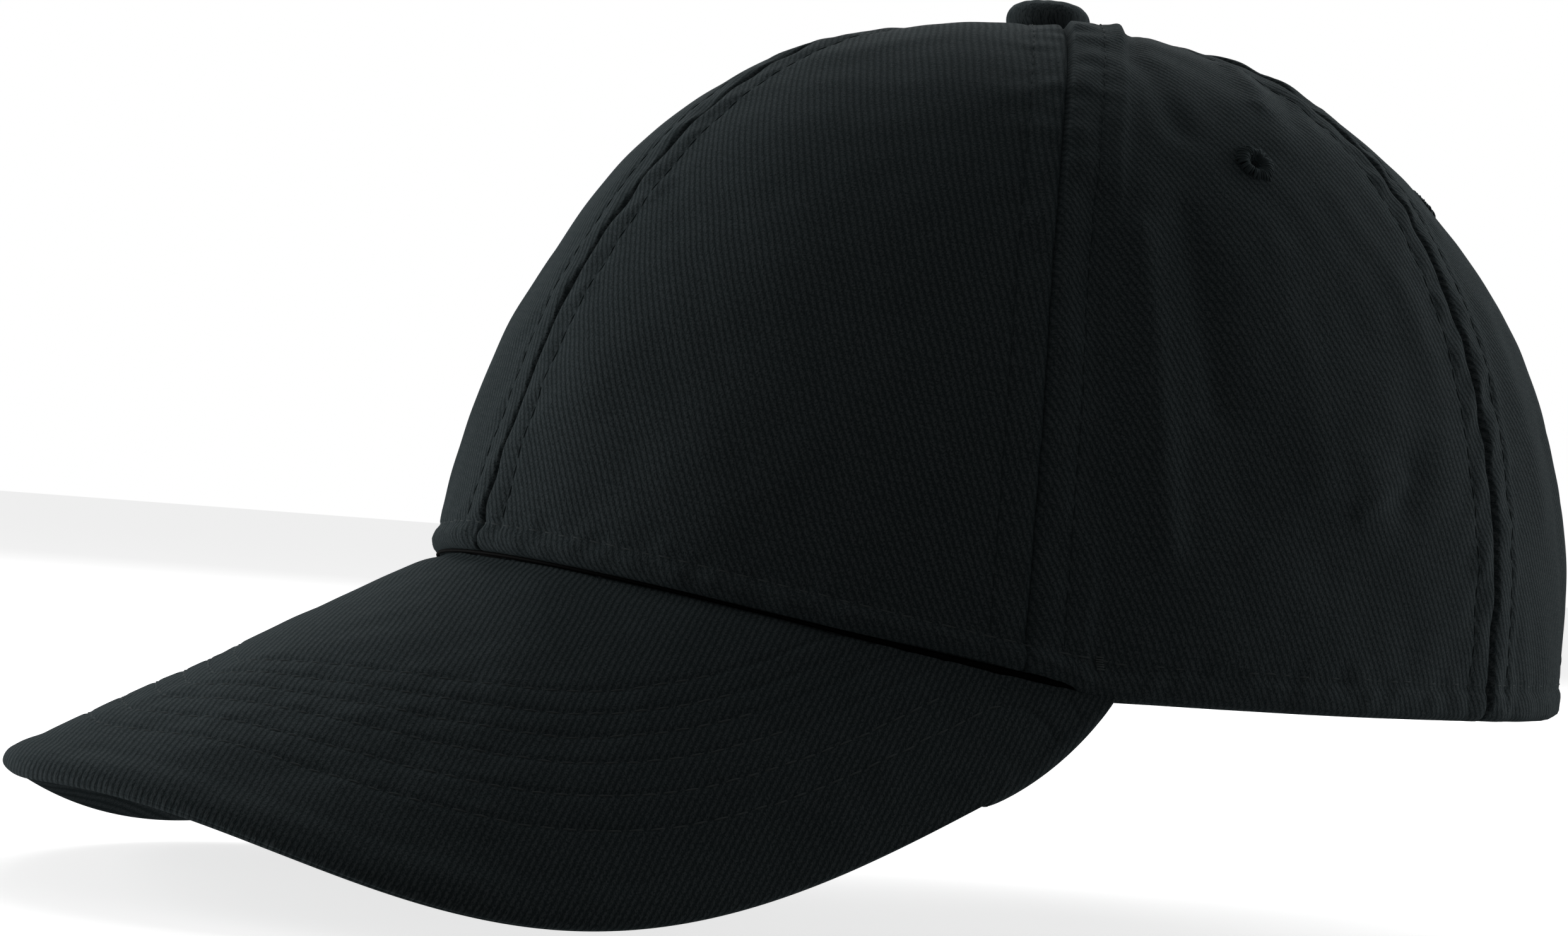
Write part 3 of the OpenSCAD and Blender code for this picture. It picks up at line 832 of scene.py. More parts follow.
def panel_uv(azimuth, s, middle):
    """Cloth coordinates: arc length round the ring from the panel's middle, and up the wall."""
    steps = np.linspace(0, 1, 9)
    total = np.zeros(azimuth.shape)
    last = crown(middle, s)
    for t in steps[1:]:
        here = crown(mix(middle, azimuth, t), s)
        total += np.linalg.norm(here - last, axis=-1)
        last = here
    u = total * np.sign(azimuth - middle)
    v = s * WALL.look_up(azimuth, s)[1]
    return np.stack([u, v], -1)


def make_panel(name, azimuth, s, middle, side, from_edge=None):
    """A crown panel from grids of azimuth and share, on the wearer's left (1) or right (-1)."""
    azimuth = azimuth * side
    point, _, _, normal = crown_frame(azimuth, s)
    relief = crown_relief(azimuth, s)
    if from_edge is not None:
        relief = relief + arch_relief(from_edge)
    outer = point + normal * relief[..., None]
    depth = np.maximum(CLOTH_T + 0.35 * np.clip(-relief, 0, 1.2), 0.35 - relief)
    inner = point - normal * depth[..., None]
    # Behind the visor's corner the hem hangs down to meet the visor
    up = s * WALL.look_up(azimuth, s)[1]
    behind = smooth(np.abs(azimuth), VISOR_CORNER - 7, VISOR_CORNER - 1)
    for face in (outer, inner):
        face[..., 2] -= HEM_HANG * behind * (1 - smooth(up, 0, 12))
    missing = open_holes(outer, side)
    open_holes(inner, side)
    uv = panel_uv(azimuth, s, middle * side)
    make_cloth(name, outer, inner, uv, PANEL_TWILL, suffix="", missing=missing)


PANEL_SHARES = np.linspace(0, 1, int(150 / PANEL_STEP))


def make_front_and_side_panels():
    for kind, first, last, width in (
        ("front", centre_seam, front_seam, 112.0), ("side", front_seam, rear_seam, 80.0),
    ):
        across = spaced(width, SEAM_STEP, PANEL_STEP, 8.0)[:, None]
        azimuth = mix(first(PANEL_SHARES), last(PANEL_SHARES), across)
        shares = np.broadcast_to(PANEL_SHARES, azimuth.shape)
        middle = mix(first(shares), last(shares), 0.5)
        for word, side in SIDES:
            make_panel(f"{kind}_panel_{word}", azimuth, shares, middle, side)


def make_back_panels():
    flat = mix(SEAM_REAR, 180 - ARCH_ANGLE, spaced(54.0, SEAM_STEP, PANEL_STEP, 8.0))
    angle = np.linspace(0, 90, 120)[1:]
    # Columns crowd towards the centre back, where a seam closes the arch
    angle = angle + 1.2 * np.sin(np.radians(2 * angle))
    azimuth = np.concatenate([flat, arch_azimuth(angle)])
    start = np.concatenate([np.zeros(len(flat)), arch_share(angle)])
    azimuths = np.repeat(azimuth[:, None], len(PANEL_SHARES), 1)
    shares = mix(start[:, None], 1.0, PANEL_SHARES)
    # Distance from the arch's edge, measured on the surface's points
    turn = np.linspace(0, 90, 200)
    edge = crown(arch_azimuth(turn), arch_share(turn))
    points = crown(azimuths, shares)
    from_edge = np.full(azimuths.shape, 1e9)
    for p in edge:
        from_edge = np.minimum(from_edge, np.linalg.norm(points - p, axis=-1))
    middle = np.full(azimuths.shape, 147.0)
    for word, side in SIDES:
        make_panel(f"back_panel_{word}", azimuths, shares, middle, side, from_edge)


make_front_and_side_panels()
make_back_panels()


# ---- Topstitching of the crown ----
SEAM_STITCH_TOP = 0.93


def crown_line(azimuth, s, lift=0.0):
    """(points, normals) of a line on the crown's cloth."""
    point, _, _, normal = crown_frame(azimuth, s)
    relief = crown_relief(azimuth, s) + lift
    return point + normal * relief[..., None], normal


def make_stitches(name, rows, material=THREAD, radius=0.14, stitch=2.9, gap=0.40, rise=0.30):
    """One piece of thread for several stitched lines. rows holds (line, normal) pairs."""
    paths = np.concatenate([stitch_paths(line, normal, stitch, gap, rise) for line, normal in rows])
    make_threads(name, paths, radius * STITCH_PROFILE, material)


def make_seam_stitches():
    """Two rows beside every seam of the crown."""
    shares = np.linspace(0.035, SEAM_STITCH_TOP, 400)
    rows = []
    for seam, sides in ((front_seam, (1, -1)), (rear_seam, (1, -1)), (centre_seam, (1,))):
        at = seam(shares)
        for offset in (-TOPSTITCH_OFF, TOPSTITCH_OFF):
            azimuth = at + offset / mm_per_degree(at, shares)
            rows += [crown_line(azimuth * side, shares) for side in sides]
    shares = np.linspace(float(arch_share(90.0)) + 0.02, SEAM_STITCH_TOP, 200)
    azimuth = 180 - TOPSTITCH_OFF / mm_per_degree(np.full(200, 180.0), shares)
    rows += [crown_line(azimuth * side, shares) for side in (1, -1)]
    make_stitches("crown_seam_stitches", rows, rise=0.16)


def make_edge_stitches():
    """One row round the hem and one round the rear opening."""
    around = np.linspace(-180 + ARCH_ANGLE + 3, 180 - ARCH_ANGLE - 3, 1200)
    angle = np.linspace(8, 172, 300)
    share = arch_share(np.minimum(angle, 180 - angle), ARCH_STITCH_OFF)
    rows = [
        crown_line(around, share_at(around, BASE_STITCH_UP)),
        crown_line(arch_azimuth(angle, ARCH_STITCH_OFF), share),
    ]
    make_stitches("crown_edge_stitches", rows, PAINTED_HIGHLIGHT_THREAD, radius=0.16, rise=0.24)


make_seam_stitches()
make_edge_stitches()

TACK_AZIMUTH = 68.4
TACK_UP = 4.6
TACK_THREADS = 6


def make_bar_tacks():
    """A small bar of close zigzag stitches on the hem over each corner of the visor."""
    across = np.linspace(-0.6, 0.6, 7)
    paths = []
    for side in (1, -1):
        for up in np.linspace(TACK_UP - 0.9, TACK_UP + 0.9, TACK_THREADS):
            azimuth = TACK_AZIMUTH + across / mm_per_degree(TACK_AZIMUTH, 0.03)
            height = up + 0.07 * across + rng.normal(0, 0.03)
            line, normal = crown_line(side * azimuth, share_at(azimuth, height), 0.05)
            paths.append(line + normal * (0.22 * np.cos(across / 0.6 * 1.3))[:, None])
    make_threads("visor_bar_tacks", paths, 0.15, PAINTED_HIGHLIGHT_THREAD)


make_bar_tacks()


# ---- Eyelets: a sewn ring of radial thread round each hole ----
EYELET_THREADS = 46


def eyelet_threads(centre, across, up, normal):
    """Paths of the radial threads, from the hole over the ring to the cloth, on one face."""
    turn = np.linspace(0, 2 * np.pi, EYELET_THREADS, endpoint=False)
    turn = turn + rng.normal(0, 0.035, EYELET_THREADS)
    outside = EYELET_R + rng.normal(0, 0.22, EYELET_THREADS)
    share = np.linspace(0, 1, 8)
    radius = mix(EYELET_HOLE_R, outside[:, None], share)
    height = 0.62 * np.sin(np.pi * share ** 0.8) ** 0.7 + rng.normal(0, 0.05, (EYELET_THREADS, 1))
    height = height - 0.75 * (1 - share) ** 4 - 0.15 * share ** 6
    twist = turn[:, None] + 0.10 * share
    flat = np.cos(twist)[..., None] * across + np.sin(twist)[..., None] * up
    return centre + flat * radius[..., None] + normal * height[..., None]


def make_eyelets():
    for kind, azimuth, h in EYELETS:
        s = share_of_height(azimuth, h)
        for word, side in SIDES:
            centre, across, up, normal = crown_frame(side * azimuth, s)
            relief = float(crown_relief(side * azimuth, s))
            outside = eyelet_threads(centre + normal * relief, across, up, normal)
            inside = eyelet_threads(centre - normal * CLOTH_T, across, up, -normal)
            paths = np.concatenate([outside, inside])
            piece = make_threads(f"{kind}_{word}_threads", paths, 0.21, EYELET_THREAD)
            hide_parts(f"{kind}_{word}")


make_eyelets()


# ---- Visor ----
STITCH_ROWS = [14.2, 19.6, 25.1, 29.7, 33.9, 38.3]
ROW_DEPTH = 0.24


def visor_inner(tau, inset):
    """The visor's edge under the crown, as flat places (along the curve, y)."""
    azimuth = VISOR_CORNER * tau / 90
    return np.stack([
        VISOR_R * np.arcsin((HALF_W + inset) * sind(azimuth) / VISOR_R),
        -(FRONT_L + inset) * cosd(azimuth),
    ], -1)


def visor_outer(tau, trim):
    """The visor's free edge, trimmed back, as flat places."""
    cut = trim * np.maximum(0.1, np.minimum(1, 4 * cosd(tau)))
    side = ((sind(tau) ** 2 + OUTLINE_ROUND) / (1 + OUTLINE_ROUND)) ** (1 / OUTLINE_SIDE - 0.5)
    return np.stack([
        (VISOR_S - cut) * sind(tau) * side,
        -OUTLINE_Y - (VISOR_REACH - cut) * np.maximum(cosd(tau), 0) ** (2 / OUTLINE_FRONT),
    ], -1)


def visor_point(flat, depth):
    """Lifts a flat place (along the curve, y) onto the visor, at a depth under its top face."""
    angle = flat[..., 0] / VISOR_R
    radius = VISOR_R - depth
    return np.stack([
        radius * np.sin(angle),
        flat[..., 1],
        RIM_FRONT - VISOR_SLOPE * (-flat[..., 1] - FRONT_L) - (VISOR_R - radius * np.cos(angle)),
    ], -1)


def visor_normal(flat):
    angle = flat[..., 0] / VISOR_R
    none = np.zeros(angle.shape)
    flat_normal = np.stack([np.sin(angle), none, np.cos(angle)], -1)
    slope = np.stack([none, none + 1, none + VISOR_SLOPE], -1)
    across = np.stack([np.cos(angle), none, -np.sin(angle)], -1)
    normal = unit(np.cross(across, slope))
    return normal * np.sign((normal * flat_normal).sum(-1, keepdims=True))


def even_taus(step):
    """Angles along the visor's outline at about even distances."""
    fine = np.linspace(-90, 90, 4000)
    line = visor_point(visor_outer(fine, VISOR_EDGE), 0.0)
    along = distances_along(line)
    return np.interp(np.linspace(0, along[-1], int(along[-1] / step)), along, fine)


SLOPE_STRETCH = np.array([1, math.sqrt(1 + VISOR_SLOPE ** 2)])
OUTLINE = visor_outer(even_taus(0.3), 0.0) * SLOPE_STRETCH


def edge_distance(flat):
    """Distance over the visor from a flat place to its outer edge."""
    places = (flat * SLOPE_STRETCH).reshape(-1, 2)
    nearest = np.empty(len(places))
    for start in range(0, len(places), 8000):
        part = places[start:start + 8000]
        square = (part ** 2).sum(1)[:, None] + (OUTLINE ** 2).sum(1) - 2 * part @ OUTLINE.T
        nearest[start:start + 8000] = np.sqrt(np.maximum(square.min(1), 0))
    return nearest.reshape(flat.shape[:-1])


def visor_relief(flat, distance, points):
    """Stitch furrows, puckered strips between them and soft unevenness of the visor's cover."""
    relief = 0.12 * BROAD_NOISE(points * 1.4) + 0.04 * FINE_NOISE(points)
    strips = smooth(distance, STITCH_ROWS[0] - 6, STITCH_ROWS[0])
    strips = strips * (1 - smooth(distance, STITCH_ROWS[-1], STITCH_ROWS[-1] + 6))
    relief += strips * 0.045 * PUCKER_NOISE(points)
    for row in STITCH_ROWS:
        relief -= ROW_DEPTH * bell(distance - row, 0.5)
    relief += 0.16 * bell(distance - 3.2, 2.2) - 0.10 * bell(distance - 6.5, 1.2)
    to_crown = np.linalg.norm(flat / [HALF_W * 1.08, FRONT_L], axis=-1) * FRONT_L - FRONT_L
    relief -= 0.60 * bell(np.maximum(to_crown, 0), 2.2)
    return relief


VISOR_STEP = 0.66
LIP_STEPS = 8
# The way a rear side of the visor faces, in its flat plan
SIDE_OUT = np.array([0.969, 0.247])


def visor_between(tau, inset, trim, shares):
    """Flat places at shares of the way from the crown to the free edge."""
    return mix(visor_inner(tau, inset), visor_outer(tau, trim), shares[..., None])


def make_visor_cover(name, top):
    """One cover of the visor, from under the crown's rim round its edge and its two rear sides."""
    taus = even_taus(VISOR_STEP)
    lip_turn = np.linspace(0, 90, LIP_STEPS + 1)[1:]
    ends = np.full(LIP_STEPS, 90.0)
    tau = np.concatenate([-ends, taus, ends])[:, None]
    side_turn = np.concatenate([lip_turn[::-1], np.zeros(len(taus)), lip_turn])[:, None]
    shares = spaced(84.0, 0.35, VISOR_STEP, 3.0)
    turn = np.concatenate([np.zeros(len(shares)), lip_turn])[None, :]
    shares = np.concatenate([shares, np.ones(LIP_STEPS)])[None, :]
    # The rear sides bulge outwards between the crown and the visor's widest point
    swell = (0.5 + 2.3 * np.sin(np.pi * shares) ** 0.7) * sind(side_turn)
    inset = mix(-0.6, 0.2, smooth(np.abs(tau), 70, 88))
    aside = np.stack([np.sign(tau) * SIDE_OUT[0], np.full(tau.shape, SIDE_OUT[1])], -1)
    tau, shares, turn, side_turn, inset = np.broadcast_arrays(tau, shares, turn, side_turn, inset)
    outer_trim = VISOR_EDGE * (1 - sind(turn))
    inner_trim = VISOR_EDGE - (VISOR_EDGE - VISOR_COVER_T) * sind(turn)
    flat = visor_between(tau, inset, outer_trim, shares) + aside * swell[..., None]
    in_flat = visor_between(tau, inset, inner_trim, shares) + aside * (swell * 0.6)[..., None]
    level = cosd(turn) * cosd(side_turn)
    depth = VISOR_EDGE * (1 - level)
    in_depth = VISOR_EDGE - (VISOR_EDGE - VISOR_COVER_T) * level
    if not top:
        depth, in_depth = VISOR_T - depth, VISOR_T - in_depth
    base = visor_point(flat, depth)
    distance = edge_distance(flat)
    side_line = mix(visor_inner(90.0, 0.2), visor_outer(90.0, 0.0), shares[..., None])
    from_side = np.linalg.norm(np.abs(flat) - np.abs(side_line), axis=-1)
    relief = visor_relief(flat, distance, base)
    relief *= smooth(distance, 0.5, 3.5) * smooth(from_side, 0.3, 2.5) * (level > 0.999)
    outer = base + visor_normal(flat) * (relief * (1 if top else -1))[..., None]
    inner = visor_point(in_flat, in_depth)
    make_cloth(name, outer, inner, flat * SLOPE_STRETCH, VISOR_TWILL, suffix="")


ROW_SHARES = np.linspace(0, 1, 120)
ROW_TAUS = np.linspace(-89, 89, 700)
ROW_FLAT = visor_between(ROW_TAUS[:, None], 0.0, 0.0, ROW_SHARES[None, :])
ROW_DISTANCE = edge_distance(ROW_FLAT)
ROW_END_SHARE = 0.045


def visor_row_lines(distance_in, top):
    """Lines on the visor at a distance from its edge, as (points, normals)."""
    found = []
    for flat, distance in zip(ROW_FLAT, ROW_DISTANCE):
        if distance.max() > distance_in + 0.5:
            peak = distance.argmax()
            v = np.interp(-distance_in, -distance[peak:], ROW_SHARES[peak:])
            found.append(mix(flat[0], flat[-1], v))
    line = np.array(found)
    # Each row stops short of the corners, where it would turn back towards the crown
    line = line[np.abs(np.arange(len(line)) / (len(line) - 1) - 0.5) < 0.5 - ROW_END_SHARE]
    gaps = np.linalg.norm(np.diff(line, axis=0), axis=1)
    line = line[np.concatenate([[True], gaps > 0.02])]
    base = visor_point(line, np.full(len(line), 0.0 if top else VISOR_T))
    normal = visor_normal(line) * (1 if top else -1)
    relief = visor_relief(line, np.full(len(line), distance_in), base)
    return base + normal * relief[:, None], normal


make_visor_cover("visor_top_cover", True)
make_visor_cover("visor_under_cover", False)
for face, is_top in (("top", True), ("under", False)):
    lines = [visor_row_lines(row, is_top) for row in STITCH_ROWS]
    make_stitches(f"visor_{face}_stitches", lines, PAINTED_HIGHLIGHT_THREAD, radius=0.17)


def make_crevice_painted_shade():
    """A black cord in the crease between the crown's hem and the visor: painted shade for the dark
    crevice there, not a part of the real cap.
    """
    azimuth = np.linspace(-VISOR_CORNER + 1.5, VISOR_CORNER - 1.5, 420)
    radius = 0.28 + 0.32 * corner_gap(np.abs(azimuth))
    radius = radius * smooth(VISOR_CORNER - np.abs(azimuth), 1.0, 4.0)
    point = crown(azimuth, 0.0, 0.20)
    point[:, 2] += 0.35 * radius
    # The cord is painted shade: it stands in for the deep shadow in the crease between hem and visor
    make_threads("visor_crevice_painted_shade", point[None], radius[None] + 0.02, PAINTED_SHADE_BLACK, sides=10)


make_crevice_painted_shade()


# ---- Button ----
BUTTON_R = 7.5
BUTTON_H = 6.0
BUTTON_WAIST = 2.4


def make_button():
    """A padded, cloth-covered button: a flattened dome, gathered where the cloth turns under."""
    turns, rings = 160, 60
    theta = np.linspace(0, 2 * np.pi, turns, endpoint=False)[:, None]
    phi = np.linspace(-78, 89.5, rings)[None, :]
    lift = sind(phi)
    # The sides are full right down to the crown, so that the shell under the cloth stays covered
    radius = BUTTON_R * np.where(lift > 0, cosd(phi) ** 0.62, cosd(phi) ** 0.20)
    above = (BUTTON_H - BUTTON_WAIST) * np.abs(lift) ** 0.92
    below = (BUTTON_WAIST - 0.1) * np.abs(lift) ** 0.9
    height = BUTTON_WAIST + np.where(lift > 0, above, -below)
    gathers = 0.05 * np.sin(17 * theta + 0.7 * np.sin(3 * theta)) * smooth(-phi, -25, 30)
    dents = 0.10 * np.sin(3 * theta + 1.0) * sind(2 * phi) + 0.07 * np.sin(5 * theta + 2.0)
    out = radius - BUTTON_R * 0.012 + (gathers + dents) * np.minimum(1, radius / 3)
    top = CROWN_H + 0.2
    x, y = out * np.cos(theta), out * np.sin(theta)
    points = np.stack(np.broadcast_arrays(x, -APEX_FORWARD + y, top + height), -1)
    lumps = 0.07 * np.sin(2.1 * points[..., 0] + 1.3) * np.sin(1.7 * points[..., 1])
    points[..., 2] += lumps * (lift > 0.6)
    index = np.arange(turns * rings).reshape(turns, rings)
    after = np.roll(index, -1, 0)
    quads = np.stack([index[:, :-1], after[:, :-1], after[:, 1:], index[:, 1:]], -1).reshape(-1, 4)
    faces = [list(q) for q in quads] + [list(index[:, -1]), list(index[::-1, 0])]
    uv = np.stack([x * 1.15, y * 1.15 + np.minimum(phi, 0) * 0.02], -1)
    piece = make_object("button_cover_cloth", points, faces, BUTTON_TWILL, uv)
    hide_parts("button_cover")


make_button()


# ---- Inside: tapes, sweatband, buckram, binding and label ----
TAPE_W = 12.0
TAPE_TOP, TAPE_UNDER = 2.7, 3.2


TAPE_STITCH = 0.72


def make_tape(node, point, across, normal, ridge):
    """A tape over a seam, folded at its edges, with a ridge over the seam. Returns its stitch rows."""
    width = np.linspace(-1, 1, 17)
    spine = point[None] + across[None] * (width * TAPE_W / 2)[:, None, None]
    thick = TAPE_UNDER - TAPE_TOP
    swell = 0.22 * bell(np.abs(width) - 0.86, 0.12) + ridge * bell(width, 0.25)
    swell = swell[:, None] + 0.08 * PUCKER_NOISE(spine)
    low = spine - normal[None] * (thick + swell)[..., None]
    along = distances_along(point)
    uv = np.stack(np.broadcast_arrays((width * TAPE_W / 2)[:, None], along[None]), -1)
    make_cloth(node, low, spine, uv, TAPE_WEAVE, (TAPE_W, along[-1]))
    row = point - normal * (thick + 0.05)
    return [(row + across * share * TAPE_W / 2, -normal) for share in (-TAPE_STITCH, TAPE_STITCH)]


def make_side_tapes():
    rows = []
    s = np.linspace(0.03, 0.80, 130)
    for kind, seam in (("front", front_seam), ("rear", rear_seam)):
        for word, side in SIDES:
            point, across, _, normal = crown_frame(seam(s) * side, s, TAPE_TOP)
            rows += make_tape(f"{kind}_seam_tape_{word}", point, across, normal, 0.30)
    make_stitches("tape_stitches", rows, stitch=2.6, rise=0.22)


def make_centre_tape():
    """The centre tape runs from the front rim over the apex to the rear opening."""
    top_s = float(arch_share(np.array(90.0), 9.0))
    azimuth = np.concatenate([np.zeros(140), np.full(110, 180.0)])
    s = np.concatenate([np.linspace(0.03, 0.985, 140), np.linspace(0.985, top_s, 110)])
    point = crown(azimuth, s, TAPE_TOP)
    across = np.broadcast_to([1.0, 0.0, 0.0], point.shape)
    normal = unit(np.cross(across, unit(np.gradient(point, axis=0))))
    rows = make_tape("centre_seam_tape", point, across, normal, 0.0)
    make_stitches("centre_tape_stitches", rows, stitch=2.6, rise=0.22)


make_side_tapes()
make_centre_tape()

BAND_LOW, BAND_HIGH = 0.5, 30.0
BAND_TOP, BAND_UNDER = 3.6, 4.6
BAND_LENGTH = 470.0


def inner_point(azimuth, z, inset):
    """Point at a height z over the rim, under the crown's outer face by inset."""
    h = np.maximum(z, 0) / (CROWN_H - inset - rim(azimuth))
    return crown_at_height(azimuth, h, inset)


def make_sweatband():
    """A folded cotton band: its lower edge turns out to the hem and its upper edge is a soft fold."""
    azimuth = np.linspace(-140, 140, 520)[:, None]
    z = spaced(BAND_HIGH - BAND_LOW, 0.35, 0.8, 3.0)[None, :] * (BAND_HIGH - BAND_LOW) + BAND_LOW
    azimuth, z = np.broadcast_arrays(azimuth, z)
    flare = 2.2 * (1 - smooth(z, BAND_LOW, 3.2)) ** 1.5
    base = inner_point(azimuth, z, BAND_UNDER)
    inward = unit(inner_point(azimuth, z, BAND_UNDER + 1) - base)
    ripple = 0.16 * PUCKER_NOISE(base) + 0.22 * BROAD_NOISE(base)
    fold = 0.25 * bell(z - BAND_HIGH + 1.6, 1.2) - 0.28 * bell(z - BAND_HIGH + 3.8, 0.7)
    round_top = -0.5 * smooth(z, BAND_HIGH - 0.7, BAND_HIGH) ** 2
    seam = -0.25 * bell(z - 4.2, 0.7)
    face = base + inward * (ripple * smooth(z, 1, 6) + fold + round_top + seam - flare)[..., None]
    back = inner_point(azimuth, z, BAND_TOP) - inward * np.minimum(flare, 2.0)[..., None]
    uv = np.stack([np.radians(azimuth) * 88.0, z], -1)
    flat_size = (BAND_LENGTH, BAND_HIGH - BAND_LOW)
    make_cloth("sweatband", face, back, uv, BAND_WEAVE, flat_size)
    around = np.linspace(-139, 139, 900)
    rows = []
    for up in (BAND_HIGH - 3.8, 4.2):
        place = inner_point(around, np.full(900, up), BAND_UNDER)
        into = unit(inner_point(around, np.full(900, up), BAND_UNDER + 1) - place)
        rows.append((place + into * 0.10, into))
    make_stitches("sweatband_stitches", rows, radius=0.15, stitch=2.8)


make_sweatband()


def make_buckram():
    """The stiff open mesh behind the two front panels."""
    for word, side in SIDES:
        azimuth = np.linspace(1.5, SEAM_FRONT - 1.5, 90)[:, None] * side
        s = np.linspace(0.07, 0.85, 120)[None, :]
        outer = crown(azimuth, s, 1.5)
        inner = crown(azimuth, s, 2.1)
        azimuths, shares = np.broadcast_arrays(azimuth, s)
        uv = panel_uv(azimuths, shares, np.full(azimuths.shape, SEAM_FRONT / 2 * side))
        make_cloth(f"buckram_{word}", inner, outer, uv, BUCKRAM_WEAVE)


make_buckram()

STRAP_LOW, STRAP_HIGH = 2.0, 22.0
BINDING_W = 10.0


def make_binding():
    """The tape that binds the rear opening's edge on the inside."""
    foot = math.degrees(math.asin((STRAP_HIGH + 2) / ARCH_H))
    angle = np.linspace(foot, 180 - foot, 200)[:, None]
    grow = np.linspace(0.3, 8.0, 14)[None, :]
    angle, grow = np.broadcast_arrays(angle, grow)
    azimuth = arch_azimuth(angle, grow)
    h = (ARCH_H + grow) * sind(angle) / (CROWN_H - 1.6)
    outer = crown_at_height(azimuth, h, 1.6)
    deeper = crown_at_height(azimuth, h, 2.1)
    inward = unit(deeper - outer)
    swell = 0.25 * bell(grow - 1.2, 1.0) + 0.05 * PUCKER_NOISE(outer)
    inner = deeper + inward * swell[..., None]
    uv = np.stack([np.radians(angle) * 46.0, grow], -1)
    flat_size = (BINDING_W, distances_along(inner[:, 7])[-1])
    make_cloth("opening_binding", inner, outer, uv, TAPE_WEAVE, flat_size)
    make_stitches("binding_stitches", [(inner[:, 11], inward[:, 11])], stitch=2.6)


make_binding()


def make_label():
    """A small blank care label, sewn in at its ends."""
    azimuth = np.linspace(118, 128, 40)[:, None]
    z = np.linspace(8, 24, 36)[None, :]
    azimuth, z = np.broadcast_arrays(azimuth, z)
    outer = inner_point(azimuth, z, 5.1)
    inward = unit(inner_point(azimuth, z, 6.1) - outer)
    curl = 0.5 * smooth(z, 16, 24) + 0.12 * PUCKER_NOISE(outer)
    outer = outer + inward * (0.15 + curl)[..., None]
    inner = outer + inward * 0.3
    uv = np.stack([np.radians(azimuth) * 85.0, z], -1)
    make_cloth("care_label", inner, outer, uv, LABEL_SATIN, (15.5, 16.0))


make_label()


# ---- Rear closure ----
STRAP_TOP, STRAP_UNDER = 2.3, 3.1
TAB_TOP, TAB_UNDER = 3.6, 4.2
STRAP_SEWN = 11.0
BUCKLE_AT = 15.0


STRAP_SHARES = spaced(STRAP_HIGH - STRAP_LOW, 0.25, 0.7, 2.0)
STRAP_Z = STRAP_SHARES * (STRAP_HIGH - STRAP_LOW) + STRAP_LOW
STRAP_ROWS = (STRAP_LOW + 2.2, STRAP_HIGH - 2.2)


def strap_edge(from_edge):
    """How far a folded strap's edge is rounded off, as a share of its roundness."""
    return 1 - np.sqrt(1 - np.clip(1 - from_edge / 0.5, 0, 1) ** 2)


def make_strap():
    """The upright folded strap behind the rim, with topstitching along both edges."""
    first, last = 180 - ARCH_ANGLE - STRAP_SEWN, 180 + ARCH_ANGLE + 6
    azimuth, z = np.broadcast_arrays(np.linspace(first, last, 170)[:, None], STRAP_Z[None, :])
    face = crown_at_height(azimuth, 0.0, STRAP_TOP)
    back = crown_at_height(azimuth, 0.0, STRAP_UNDER)
    out = unit(face - back)
    face[..., 2] = z
    back[..., 2] = z
    from_edge = np.minimum(z - STRAP_LOW, STRAP_HIGH - z)
    round_edge = 0.35 * strap_edge(from_edge)
    dent = 0.14 * bell(from_edge - 2.2, 0.6) + 0.04 * np.clip(PUCKER_NOISE(face), -1, 1)
    face = face - out * (round_edge + dent)[..., None]
    back = back + out * round_edge[..., None]
    uv = np.stack([np.radians(azimuth) * 95.0, z], -1)
    flat_size = (STRAP_HIGH - STRAP_LOW, distances_along(face[:, face.shape[1] // 2])[-1])
    make_cloth("closure_strap", face, back, uv, TRIM_TWILL, flat_size)
    around = np.linspace(first + 0.4, last - 0.4, 300)
    rows = []
    for up in STRAP_ROWS:
        line = crown_at_height(around, 0.0, STRAP_TOP + 0.14)
        line[:, 2] = up
        normal = crown_at_height(around, 0.0, STRAP_TOP - 1) - crown_at_height(around, 0.0, STRAP_TOP)
        normal = unit(normal)
        normal[:, 2] = 0
        rows.append((line, normal))
    make_stitches("strap_stitches", rows, stitch=2.6, rise=0.2)


make_strap()

# The buckle's bar in the buckle's own plan, and the tab that loops round it
BAR_AT = (-9.0, -5.4)
BAR_R = 0.75
TAB_RUN = 7.0
TAB_CLOTH_T = TAB_UNDER - TAB_TOP


def buckle_place(x, y):
    """Plan position of a place in the buckle's own frame: x runs along the strap and y outwards."""
    at = crown_at_height(180.0 + BUCKLE_AT, 0.0)
    turn = math.atan2(at[1] / BACK_L ** 2, at[0] / HALF_W ** 2) - math.pi / 2
    return np.stack([
        at[0] + x * math.cos(turn) - y * math.sin(turn),
        at[1] + x * math.sin(turn) + y * math.cos(turn),
    ], -1)


def tab_path():
    """Middle line of the tab: along the back panel, round the buckle's bar and back under itself."""
    reach = -BAR_AT[0] + BAR_R + TAB_CLOTH_T - 0.1
    near = 180 + BUCKLE_AT + math.degrees(math.asin(reach / HALF_W))
    azimuth = np.linspace(180 + ARCH_ANGLE + STRAP_SEWN, near, 60)
    band = crown_at_height(azimuth, np.zeros(60), (TAB_TOP + TAB_UNDER) / 2)[:, :2]
    radius = BAR_R + TAB_CLOTH_T / 2
    turn = np.linspace(90, -90, 30)
    loop = buckle_place(BAR_AT[0] + radius * cosd(turn), BAR_AT[1] + radius * sind(turn))
    back = buckle_place(BAR_AT[0] - np.linspace(0.4, TAB_RUN, 14), np.full(14, BAR_AT[1] - radius))
    path = np.concatenate([band, loop, back])
    along = distances_along(path)
    even = np.linspace(0, along[-1], 150)
    return np.stack([np.interp(even, along, path[:, i]) for i in range(2)], -1), even


